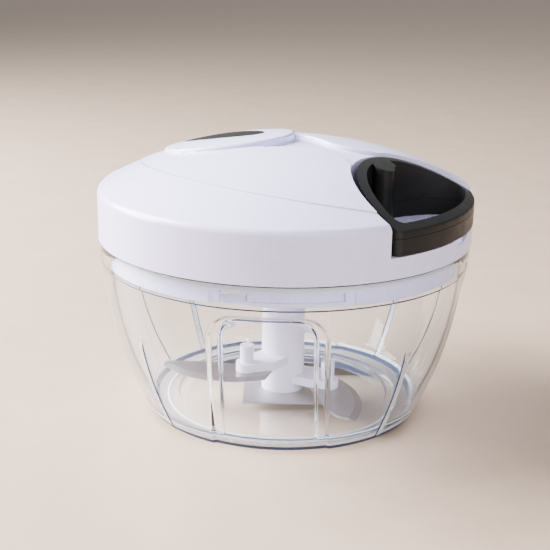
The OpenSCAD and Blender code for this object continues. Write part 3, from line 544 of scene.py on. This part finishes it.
# %% [markdown]
# Four sunk panels with round-cornered tops stand round the wall, and a thin rib runs up between each two
# of them. They could be cut by a boolean, but that leaves sharp edges and ragged faces in a clear wall.
# So the vertices of the spun bowl are moved: first along the circle, to crowd where a slope or a rib will
# be, and then in or out.

# %% Bowl: where the vertices crowd
PANEL_HALF = 18.0
INNER_HALF = 14.4
STEP_WIDE = 1.3
RIB_HALF = 1.25
RIB_MARGIN = 0.2
FOOT_MARGIN = 2
PANEL_SHARE = 0.12
SLOPE_SHARE = 0.68
PLAIN_SHARE = 0.76
SECTOR = 360 / SECTORS
HALF_SECTOR = SECTOR / 2


def from_middle(turn):
    """Turn from the middle of the nearest sector, in degrees."""
    return (turn + HALF_SECTOR) % SECTOR - HALF_SECTOR


def crowded(share, r):
    """Turn from a panel's middle, in degrees, for an even share of the way from there to a rib."""
    r = max(r, FOOT_R - FOOT_MARGIN)
    first = math.degrees(math.asin((INNER_HALF - STEP_WIDE) / r))
    last = math.degrees(math.asin((PANEL_HALF + STEP_WIDE) / r))
    rib = math.degrees((RIB_HALF + RIB_MARGIN) / r)
    stops = [(0, 0), (PANEL_SHARE, first), (SLOPE_SHARE, last), (PLAIN_SHARE, HALF_SECTOR - rib),
             (1, HALF_SECTOR)]
    for (s0, a0), (s1, a1) in zip(stops, stops[1:]):
        if share <= s1:
            return a0 + (a1 - a0) * (share - s0) / (s1 - s0)
    return HALF_SECTOR


print("a panel's slope ends at", round(crowded(SLOPE_SHARE, WALL_R), 1), "degrees")

# %% [markdown]
# How deep a point is sunk follows from its distance to the panel's outline. A curve that is level at both
# ends turns that distance into a soft slope, as the real mould has it. The inner face has a smaller
# outline than the outer one, so that the wall keeps its thickness round the step.

# %% Bowl: how deep a panel is sunk
PANEL_TOP = 49.5
PANEL_CORNER = 8.0
PANEL_DEPTH = 0.9
INNER_TOP = 48.4
INNER_CORNER = 6.5


def smooth(t):
    """Runs from 0 to 1 as t does, level at both ends."""
    t = min(max(t, 0.0), 1.0)
    return t * t * (3 - 2 * t)


def from_arch(y, z, half, top, corner):
    """Distance from an outline with a rounded top, less than nothing inside it."""
    across = abs(y) - (half - corner)
    over = z - (top - corner)
    return math.hypot(max(across, 0), max(over, 0)) + min(max(across, over), 0) - corner


def sunk(y, z, outside):
    """How far a panel's face is sunk. On the outside the step lies further out than on the inside."""
    arch = (PANEL_HALF, PANEL_TOP, PANEL_CORNER) if outside else (INNER_HALF, INNER_TOP, INNER_CORNER)
    return PANEL_DEPTH * smooth(0.5 - from_arch(y, z, *arch) / STEP_WIDE)


print("sunk in the middle", sunk(0, WALL_TOP / 2, True), "and on the edge",
      sunk(PANEL_HALF, WALL_TOP / 2, True))

# %% [markdown]
# Now every vertex of the wall is moved. The panels fade out over the foot and under the collar, and the
# ribs fade out at their top, so that foot and collar stay plain rings.

# %% Bowl: move the vertices
POLE_R = 0.01
FOOT_FADE = 3.4
TOP_FADE = 1.0
RIB_SLOPE = 0.32
RIB_PROUD = 0.3
RIB_TOP = 33.5
RIB_TAPER = 2.0
RIB_START = 0.4
deepest = 0.0
for vert in bowl_work.verts:
    r = math.hypot(vert.co.x, vert.co.y)
    if r < POLE_R:
        continue
    turn = math.degrees(math.atan2(vert.co.y, vert.co.x))
    away = from_middle(turn)
    crowded_away = math.copysign(crowded(min(abs(away) / HALF_SECTOR, 1), r), away)
    z = vert.co.z
    sink = rib = 0.0
    if z < WALL_TOP:
        outside = r > (wall_at(z) + wall_at(z, WALL_T)) / 2
        depth = sunk(r * math.sin(math.radians(crowded_away)), z, outside)
        sink = depth * smooth((r - FOOT_RING_R) / FOOT_FADE) * smooth((WALL_TOP - z) / TOP_FADE)
        beside = r * math.sin(math.radians(HALF_SECTOR - abs(crowded_away)))
        if outside:
            rib = (RIB_PROUD * smooth((RIB_HALF - beside) / RIB_SLOPE) * smooth(z / FOOT_BEVEL - RIB_START)
                   * smooth((RIB_TOP - z) / RIB_TAPER))
    angle = math.radians(turn - away + crowded_away)
    vert.co.x = (r - sink + rib) * math.cos(angle)
    vert.co.y = (r - sink + rib) * math.sin(angle)
    deepest = max(deepest, sink)
print("deepest sink", round(deepest, 2), "mm")

# %% [markdown]
# The four bayonet lugs stand on the inside of the mouth. They could be separate blocks, but then the
# clear plastic would show a wall between lug and collar. So faces of the collar are chosen by where they
# lie and drawn inwards by an extrude, and each lug is one with the collar. The faces that the extrude
# leaves behind are deleted.

# %% Bowl: lugs
PANEL_AZ = 23.5
LUG_AZ = -9.5
LUG_HALF = 4.15
LUG_REACH = 2.0
LUG_NEAR = 0.02
BOWL_SHARP_DEG = 40
lug_faces = []
for face in bowl_work.faces:
    middle = face.calc_center_median()
    at_mouth = all(abs(math.hypot(v.co.x, v.co.y) - MOUTH_R) < LUG_NEAR for v in face.verts)
    turn = math.degrees(math.atan2(middle.y, middle.x))
    in_arc = abs(from_middle(turn - LUG_AZ)) < LUG_HALF
    if at_mouth and in_arc and LUG_LOW < middle.z < LUG_HIGH:
        lug_faces.append(face)
drawn = bmesh.ops.extrude_face_region(bowl_work, geom=lug_faces)
bmesh.ops.delete(bowl_work, geom=[f for f in lug_faces if f.is_valid], context="FACES")
for vert in drawn["geom"]:
    if isinstance(vert, bmesh.types.BMVert):
        inward = 1 - LUG_REACH / math.hypot(vert.co.x, vert.co.y)
        vert.co.x *= inward
        vert.co.y *= inward
bmesh.ops.rotate(bowl_work, cent=(0, 0, 0), matrix=Matrix.Rotation(math.radians(PANEL_AZ), 3, "Z"),
                 verts=bowl_work.verts)
bmesh.ops.scale(bowl_work, vec=(MM, MM, MM), verts=bowl_work.verts)
print("lug faces", len(lug_faces), "open edges", sum(len(e.link_faces) != 2 for e in bowl_work.edges))
clear_wall = piece_from(bowl_work, "clear_wall", clear_bowl, "bowl", ["bowl"],
                        BOWL_SHARP_DEG)
clear_wall.visible_shadow = False

# %% [markdown]
# The edge finishes go on the bowl's narrow faces: the groove under the collar, its rim, the line at the foot
# and the ribs' sides are dark with painted shade, and the ribs' crests and a band over the foot's line are
# half clear, with painted light in their pale half.
# Each face could be picked by hand, but where it lies says which one it is, so a rule picks them and
# still holds when a size changes.

# %% Bowl: finishes of its faces
BAND_TOP = 3.5
GROOVE_NEAR = 0.1
RIM_NEAR = 0.3
FOOT_NEAR = 1.8
FOOT_UPRIGHT = 0.25
UNDER_Z = 0.1
RING_NEAR = 0.5
HOLLOW_NEAR = 0.02


def wall_finish(at, normal):
    """The finish of a face of the clear wall, by its middle in millimetres and its normal."""
    out = math.hypot(at.x, at.y)
    in_groove = (abs(at.z - WALL_TOP + GROOVE_WIDE / 2) < GROOVE_WIDE / 2
                 and out > WALL_R - GROOVE_DEEP - GROOVE_NEAR)
    on_rim = at.z > COLLAR_TOP - RIM_NEAR and out > COLLAR_R - RIM_NEAR
    on_foot = at.z < LINE_TOP and out > FOOT_R - FOOT_NEAR and normal.xy.length > FOOT_UPRIGHT
    on_band = LINE_TOP <= at.z < BAND_TOP and out > wall_at(at.z) - WALL_T / 2
    away = from_middle(math.degrees(math.atan2(at.y, at.x)) - PANEL_AZ)
    beside = out * math.sin(math.radians(HALF_SECTOR - abs(away)))
    by_rib = FOOT_BEVEL < at.z < RIB_TOP and out > wall_at(at.z) - WALL_T / 2 and beside < RIB_HALF
    on_side = by_rib and beside > RIB_HALF - RIB_SLOPE
    # Painted shade on the groove, the rim, the foot's line and the ribs' sides.
    if in_groove or on_rim or on_foot or on_side:
        return edge_shade
    # Painted light: the ribs' crests and the band over the foot's line are half pale white.
    if by_rib or on_band:
        return half_clear_painted_light
    # Painted light on the ring inside the foot and on the foot's underside.
    if abs(out - FOOT_RING_R) < RING_NEAR and at.z < FOOT_HOLLOW - HOLLOW_NEAR:
        return ring_painted_light
    if at.z < UNDER_Z and out > FOOT_RING_R:
        return foot_painted_floor_tone
    return clear_bowl


wall_slots = clear_wall.data.materials
for finish in (edge_shade, half_clear_painted_light, foot_painted_floor_tone, ring_painted_light):
    wall_slots.append(finish)
wall_faces = Counter()
for polygon in clear_wall.data.polygons:
    finish = wall_finish(polygon.center / MM, polygon.normal)
    polygon.material_index = wall_slots.find(finish.name)
    wall_faces[finish.name] += 1
print("faces of the clear wall by finish", dict(wall_faces))


# %% [markdown]
# ## Rounded copies
# A mould can't make a sharp edge. Where the construction's shape is right and only its edges are too
# sharp, a copy of the node is merged, its flat stretches are joined into one face each, and the edges
# that turn more than some degrees get a small bevel. Different edges have different rounds, so a rule can
# pick the edges of one round.

# %% Helper: rounded copy
BODY_OF = {node: body for body, members in frame["record"]["behaviour"]["bodies"].items()
           for node in members}
COPY_MERGE = 0.002
FLAT_DEG = 0.6
UPRIGHT = 0.9
COPY_SHARP_DEG = 32
Round = namedtuple("Round", "width segments least_turn rule clamp upright", defaults=(None, True, False))


def merged_copy(node):
    """A node's mesh as one closed bmesh with few faces."""
    work = bmesh.new()
    work.from_mesh(frame["nodes"][node].data)
    bmesh.ops.remove_doubles(work, verts=work.verts, dist=COPY_MERGE * MM)
    bmesh.ops.dissolve_limit(work, angle_limit=math.radians(FLAT_DEG), verts=work.verts, edges=work.edges)
    return work


def round_edges(work, one):
    """Bevels the edges that turn enough for a round and that its rule picks by their middle in millimetres."""
    chosen = []
    for edge in work.edges:
        if len(edge.link_faces) == 2 and edge.calc_face_angle(0) > math.radians(one.least_turn):
            middle = (edge.verts[0].co + edge.verts[1].co) / 2 / MM
            way = (edge.verts[1].co - edge.verts[0].co).normalized()
            picked = one.rule is None or one.rule(middle)
            if picked and (not one.upright or abs(way.z) > UPRIGHT):
                chosen.append(edge)
    bmesh.ops.bevel(work, geom=chosen, offset=one.width * MM, offset_type="OFFSET", segments=one.segments,
                    profile=0.5, affect="EDGES", material=-1, clamp_overlap=one.clamp)
    return len(chosen)


def rounded_piece(node, finish, slot, *rounds):
    """A rounded copy of a node, with its rounds made one after the other."""
    work = merged_copy(node)
    counts = [round_edges(work, one) for one in rounds]
    piece = piece_from(work, node + "_rounded", finish, BODY_OF[node], [node], COPY_SHARP_DEG)
    shade = piece.modifiers.new("even_shade", "WEIGHTED_NORMAL")
    shade.keep_sharp = True
    print(node, "edges rounded", counts)
    return piece


# %% [markdown]
# ## The handle
# The pull handle is two black shells, and fingers hold it, so its upper shell has the roundest edges of
# the whole chopper. The lower shell's round is smaller, so that the parting line between the two stays a
# fine line.

# %% Rounded copies: handle
rounded_piece("handle_upper", black_satin, "black_plastic", Round(width=0.9, segments=5, least_turn=30))
rounded_piece("handle_lower", black_satin, "black_plastic", Round(width=0.4, segments=3, least_turn=30))

# %% [markdown]
# ## The lid's cover
# The cover has hard lines and soft ones: the pad stands up with a round edge that catches the light, the
# channel's sides roll down softly, and the raised field's edge is only a fine line. One round for all
# would lose that. How high an edge lies over the plain dome tells which one it is.

# %% Cover: height over the dome
LID_Z = 59.9
LID_R = 62.5
LID_WALL = 16.1
DOME_R = 136.0
dome_top = LID_Z + LID_WALL + DOME_R - math.sqrt(DOME_R ** 2 - LID_R ** 2)


def lift(at):
    """Height of a point over the plain dome."""
    return at.z - dome_top + DOME_R - math.sqrt(DOME_R ** 2 - at.x ** 2 - at.y ** 2)


print("top of the dome", round(dome_top, 2), "mm")

# %% [markdown]
# Some edges lie at the same height and still differ, such as those of the pocket, the pad and the
# channel. Where they lie on the lid tells them apart.

# %% Cover: places on the lid
POCKET_X = 61.5
POCKET_R = 34.4
POCKET_NEAR = 0.3
PAD_X = -22.0
PAD_REACH = 25.5
CHANNEL_HALF = 14
CHANNEL_FROM_X = -8


def at_pocket(at):
    """Whether a point lies on the pocket's wall."""
    return abs(math.hypot(at.x - POCKET_X, at.y) - POCKET_R) < POCKET_NEAR


def on_plain(at):
    """Whether a point lies off the pocket's wall, off the pad and off the wedge where the channel begins."""
    return not at_pocket(at) and math.hypot(at.x - PAD_X, at.y) >= PAD_REACH


def near_channel(at):
    """Whether a point lies in the channel or beside it."""
    return abs(at.y) < CHANNEL_HALF and at.x > CHANNEL_FROM_X


print("the pocket's wall crosses the lid's middle line at", round(POCKET_X - POCKET_R, 1), "mm")

# %% [markdown]
# With height and place known, each kind of edge has a short rule of its own.

# %% Cover: rules for its edges
FIELD_STEP = 0.4
PAD_STEP = 1.6
PAD_NEAR = 0.15
CHANNEL_DEPTH = 0.9
LEVEL_NEAR = 0.1
BADGE_X = -24.0
BADGE_REACH = 15.6
BADGE_OVAL = 1.7
BADGE_MARGIN = 1
UNDER_DOME = -1.5
LID_NEAR = 0.3


def pad_rim(at):
    """The pad's upper edge, without the badge's seat."""
    off_badge = math.hypot(at.x - BADGE_X, BADGE_OVAL * at.y) > BADGE_REACH + BADGE_MARGIN
    return abs(lift(at) - PAD_STEP) < PAD_NEAR and off_badge


def channel_rim(at):
    """The channel's upper edge."""
    return abs(lift(at) - FIELD_STEP) < LEVEL_NEAR and near_channel(at) and on_plain(at)


def channel_foot(at):
    """The channel's lower edge."""
    return abs(lift(at) + CHANNEL_DEPTH) < LEVEL_NEAR and on_plain(at)


def field_edge(at):
    """The raised field's long edges."""
    on_step = -LEVEL_NEAR < lift(at) < FIELD_STEP + LEVEL_NEAR
    return on_step and not channel_rim(at) and on_plain(at)


def pocket_rim(at):
    """The pocket's upper edge."""
    return at_pocket(at) and lift(at) > UNDER_DOME


def low_edge(at):
    """The outer edges below the dome: the pocket's sides and floor, and the lid's lower edge."""
    return lift(at) < UNDER_DOME and math.hypot(at.x, at.y) > LID_R - LID_NEAR


cover = rounded_piece(
    "top_cover", white_gloss, "white_plastic",
    Round(width=0.7, segments=5, least_turn=25, rule=pad_rim, clamp=False),
    Round(width=0.8, segments=5, least_turn=25, rule=channel_rim, clamp=False),
    Round(width=0.4, segments=3, least_turn=25, rule=channel_foot),
    Round(width=0.15, segments=2, least_turn=25, rule=field_edge),
    Round(width=0.45, segments=4, least_turn=25, rule=pocket_rim),
    Round(width=0.3, segments=3, least_turn=25, rule=low_edge))

# %% [markdown]
# The seam's painted shade goes on the steep faces of the raised field's step, and nowhere else on the dome. A
# face is steep when its normal leans far from upright.

# %% Cover: painted shade on the seam
SEAM_R = 58.0
SEAM_NEAR = 0.05
STEEP = 0.85
cover.data.materials.append(seam_painted_shade)
painted_seam_faces = 0
# Painted shade: the step's steep faces take the seam's shaded finish.
for polygon in cover.data.polygons:
    at = polygon.center / MM
    on_dome = math.hypot(at.x, at.y) < SEAM_R and -SEAM_NEAR < lift(at) < FIELD_STEP + SEAM_NEAR
    if on_dome and abs(polygon.normal.z) < STEEP and not near_channel(at) and on_plain(at):
        polygon.material_index = cover.data.materials.find(seam_painted_shade.name)
        painted_seam_faces += 1
print("faces of the field's seam", painted_seam_faces)

# %% [markdown]
# ## Hub and blades
# The hub is moulded, so all its edges get a small round. The blades are cut from sheet: only the corners
# of their tips are rounded, and their slanted cutting faces are ground. A second finish on those faces
# shows that, and the angle to a blade's flat side says which faces they are.

# %% Rounded copies: hub and blades
TIP_R = 34
GROUND_LEAST = 0.5
FLAT_LEAST = 0.995


def blade_tip(at):
    """The end of a blade."""
    return math.hypot(at.x, at.y) > TIP_R


def ground_edge(blade):
    """Gives the slanted faces of a blade the duller finish of ground steel."""
    blade.data.materials.append(ground_steel)
    flat = max(blade.data.polygons, key=lambda polygon: polygon.area).normal.copy()
    for polygon in blade.data.polygons:
        polygon.material_index = int(GROUND_LEAST < abs(polygon.normal.dot(flat)) < FLAT_LEAST)
    print(blade.name, "ground faces", sum(polygon.material_index for polygon in blade.data.polygons))


rounded_piece("blade_hub", hub_white, "white_plastic", Round(width=0.35, segments=3, least_turn=30))
lower_tip = Round(width=2.2, segments=6, least_turn=25, rule=blade_tip, upright=True)
middle_tip = Round(width=0.6, segments=4, least_turn=25, rule=blade_tip, upright=True)
ground_edge(rounded_piece("lower_blade", blade_steel, "steel", lower_tip))
ground_edge(rounded_piece("middle_blade", blade_steel, "steel", middle_tip))

# %% [markdown]
# ## The cord
# The cord is wound on the reel, runs to the eyelet in the lid and ends in a knot in the handle's post.
# Its places are read from the boxes of the nodes that it meets, so that it stays joined to them.

# %% Cord: sizes
CORD_R = 0.9
CORD_SIDES = 14
CORD_SHARP_DEG = 60
PULL = 350
RESERVE_TURNS = 0.12
WIND_R = 17.0
WIND_PITCH = 2.3
WIND_TURNS = PULL / (2 * math.pi * WIND_R) + RESERVE_TURNS
KNOT_BACK = 1.9
eyelet_low, eyelet_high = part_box("cord_eyelet")
wind_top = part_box("pull_cord")[1].z / MM - CORD_R
knot_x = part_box("cord_knot")[1].x / MM - KNOT_BACK
cord_z = (eyelet_low.z + eyelet_high.z) / 2 / MM
eyelet_in = eyelet_low.x / MM
eyelet_out = eyelet_high.x / MM
leave_az = -math.acos(WIND_R / eyelet_in)
print("cord height", round(cord_z, 2), "wound turns", round(WIND_TURNS, 2))


# %% [markdown]
# A curve with a round bevel would make a cord too. Here a circle is extruded from point to point and
# leaned into each bend, because the result is a plain mesh at once and its ends are closed.

# %% Cord: tubes
def cord_tube(points):
    """A round tube along points, with flat ends, as a bmesh in millimetres."""
    work = bmesh.new()
    ring = bmesh.ops.create_circle(work, cap_ends=True, segments=CORD_SIDES, radius=CORD_R)["verts"]
    ways = [points[1] - points[0]] + [b - a for a, b in zip(points, points[2:])] + [points[-1] - points[-2]]
    first_turn = Vector((0, 0, 1)).rotation_difference(ways[0]).to_matrix()
    bmesh.ops.rotate(work, cent=(0, 0, 0), matrix=first_turn, verts=ring)
    bmesh.ops.translate(work, vec=points[0], verts=ring)
    front = list({f for v in ring for f in v.link_faces})
    for i in range(1, len(points)):
        step = bmesh.ops.extrude_face_region(work, geom=front)["geom"]
        verts = [g for g in step if isinstance(g, bmesh.types.BMVert)]
        front = [g for g in step if isinstance(g, bmesh.types.BMFace)]
        bmesh.ops.translate(work, vec=points[i] - points[i - 1], verts=verts)
        lean = ways[i - 1].rotation_difference(ways[i]).to_matrix()
        bmesh.ops.rotate(work, cent=points[i], matrix=lean, verts=verts)
    bmesh.ops.recalc_face_normals(work, faces=work.faces)
    return work


def cord_piece(points, name, body, stands_for=()):
    """A braided piece along points in millimetres."""
    work = cord_tube(points)
    bmesh.ops.scale(work, vec=(MM, MM, MM), verts=work.verts)
    return piece_from(work, name, cord_braid, body, stands_for, CORD_SHARP_DEG)


# %% [markdown]
# The wound part climbs round the reel and leaves it on a straight lead. It rides on the reel, and the run
# from there to the eyelet stays in the lid, so they are two pieces.

# %% Cord: the wound part and the run in the lid
STEPS_PER_TURN = 48
LEAD = 4
RUN_LEAST = 0.3
RUN_BEND = 0.9
RUN_STOP = 0.3
wound = []
for i in range(round(WIND_TURNS * STEPS_PER_TURN) + 1):
    to_go = WIND_TURNS - i / STEPS_PER_TURN
    around = leave_az - math.tau * to_go
    wound.append(Vector((WIND_R * math.cos(around), WIND_R * math.sin(around),
                         wind_top - WIND_PITCH * to_go)))
lead_way = Vector((-math.sin(leave_az), math.cos(leave_az), 0))
wound.append(wound[-1] + LEAD * lead_way)
cord_piece(wound, "wound_cord", "reel", ["pull_cord"])
leave = Vector((WIND_R * math.cos(leave_az), WIND_R * math.sin(leave_az), wind_top))
eyelet_mouth = Vector((eyelet_in, 0, cord_z))
run_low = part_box("cord_run")[0]
run_share = (run_low.y / MM + CORD_R - leave.y) / (eyelet_mouth.y - leave.y)
run_start = leave.lerp(eyelet_mouth, max(run_share, RUN_LEAST))
run_end = Vector((eyelet_out - RUN_STOP, 0, cord_z))
cord_piece([run_start, leave.lerp(eyelet_mouth, RUN_BEND), eyelet_mouth, run_end], "cord_in_lid", "lid",
           ["cord_run"])

# %% [markdown]
# Between lid and handle lies a short length of cord, which shows when the handle is pulled. It belongs to both
# bodies, so it rides on neither here, and it has many points along its way.

# %% Cord: the length between lid and handle
LINE_STEPS = 24
handle_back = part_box("handle_lower")[0].x / MM
knot = Vector((knot_x, 0, cord_z))
line_ends = (Vector((eyelet_out, 0, cord_z)), Vector((handle_back, 0, cord_z)))
line = [line_ends[0].lerp(line_ends[1], i / LINE_STEPS) for i in range(LINE_STEPS + 1)]
pull_line = cord_piece([run_end] + line + [knot], "pull_line", None)
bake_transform(pull_line)

# %% [markdown]
# The knot sits in the handle's post. Three rings through one another, each leaned a third of a half turn
# further, look like a tight knot from every side, and a real knot's path would hardly show at this size.

# %% Cord: the knot
KNOT_LOOP_R = 1.0
KNOT_CORD_R = 0.75
KNOT_SIDES = 10
KNOT_STEPS = 24
knot_work = bmesh.new()
for lean_deg in (0, 60, 120):
    loop = bmesh.ops.create_circle(knot_work, segments=KNOT_SIDES, radius=KNOT_CORD_R)["verts"]
    bmesh.ops.rotate(knot_work, cent=(0, 0, 0), matrix=Matrix.Rotation(math.pi / 2, 3, "X"), verts=loop)
    bmesh.ops.translate(knot_work, vec=(KNOT_LOOP_R, 0, 0), verts=loop)
    edges = list({e for v in loop for e in v.link_edges})
    before = set(knot_work.verts)
    bmesh.ops.spin(knot_work, geom=loop + edges, cent=(0, 0, 0), axis=(0, 0, 1), dvec=(0, 0, 0),
                   angle=math.tau, steps=KNOT_STEPS, use_merge=True, use_duplicate=False)
    ring_verts = loop + [v for v in knot_work.verts if v not in before]
    bmesh.ops.rotate(knot_work, cent=(0, 0, 0), matrix=Matrix.Rotation(math.radians(lean_deg), 3, "X"),
                     verts=ring_verts)
bmesh.ops.translate(knot_work, vec=knot, verts=knot_work.verts)
bmesh.ops.recalc_face_normals(knot_work, faces=knot_work.faces)
bmesh.ops.scale(knot_work, vec=(MM, MM, MM), verts=knot_work.verts)
piece_from(knot_work, "knot", cord_braid, "handle", ["cord_knot"], CORD_SHARP_DEG)

# %% [markdown]
# ## The floor
# The chopper stands on a plain pale floor. One large face is enough. It lies a hair under the foot,
# because two faces at the same height would flicker into each other.

# %% Floor
FLOOR_HALF = 3.0
FLOOR_GAP = 0.0002
floor_mesh = bpy.data.meshes.new("floor")
floor_work = bmesh.new()
bmesh.ops.create_grid(floor_work, x_segments=1, y_segments=1, size=FLOOR_HALF)
floor_work.to_mesh(floor_mesh)
floor_work.free()
floor = bpy.data.objects.new("floor", floor_mesh)
bpy.context.scene.collection.objects.link(floor)
floor.location.z = -FLOOR_GAP
floor_finish = moulded("floor_cream", (0.435, 0.32, 0.24), (0.465, 0.35, 0.265), (0.30, 0.42), 200, 0.00002,
                       shine=0.4)
floor_mesh.materials.append(floor_finish)
print("floor", round(floor.dimensions.x, 2), "m wide")

# %% [markdown]
# ## Light
# The chopper is lit from the left, softly and from a wide area. The world gives the light from all round.
# It is bright above and darker at the horizon, because clear plastic shows its edges only if there is
# something dark for them to bend into view.

# %% World
HORIZON = (0.50, 0.47, 0.43, 1)
ZENITH = (0.95, 0.96, 1.0, 1)
ZENITH_FROM = 0.75
WORLD_STRENGTH = 0.60
world = bpy.data.worlds.new("studio")
bpy.context.scene.world = world
world.use_nodes = True
sky_nodes = world.node_tree.nodes
sky_links = world.node_tree.links
sky_way = sky_nodes.new("ShaderNodeTexCoord").outputs["Generated"]
sky_height = sky_nodes.new("ShaderNodeSeparateXYZ")
sky_ramp = sky_nodes.new("ShaderNodeValToRGB")
sky_ramp.color_ramp.elements[0].position = 0.0
sky_ramp.color_ramp.elements[0].color = HORIZON
sky_ramp.color_ramp.elements[1].position = ZENITH_FROM
sky_ramp.color_ramp.elements[1].color = ZENITH
sky_links.new(sky_way, sky_height.inputs["Vector"])
sky_links.new(sky_height.outputs["Z"], sky_ramp.inputs["Fac"])
sky_links.new(sky_ramp.outputs["Color"], sky_nodes["Background"].inputs["Color"])
sky_nodes["Background"].inputs["Strength"].default_value = WORLD_STRENGTH
print("world strength", WORLD_STRENGTH)

# %% [markdown]
# One big soft light on the left draws the long highlights on the lid, and a weak one lifts the front.
# Small lamps would give hard spots and hard shadows, so both are wide areas.

# %% Soft lights
LIGHT_AIM = Vector((0, 0, 0.05))


def softbox(name, place, size, power, colour=(1, 1, 1)):
    """A square soft light that looks at the bowl."""
    data = bpy.data.lights.new(name, "AREA")
    data.size = size
    data.energy = power
    data.color = colour
    lamp = bpy.data.objects.new(name, data)
    bpy.context.scene.collection.objects.link(lamp)
    lamp.location = place
    lamp.rotation_euler = (LIGHT_AIM - Vector(place)).to_track_quat("-Z", "Y").to_euler()
    print("light", name, power, "W")


softbox("main_soft", place=(-0.62, -0.16, 0.46), size=0.55, power=58, colour=(0.99, 0.985, 1.0))
softbox("front_fill", place=(0.55, -0.45, 0.35), size=0.6, power=5)
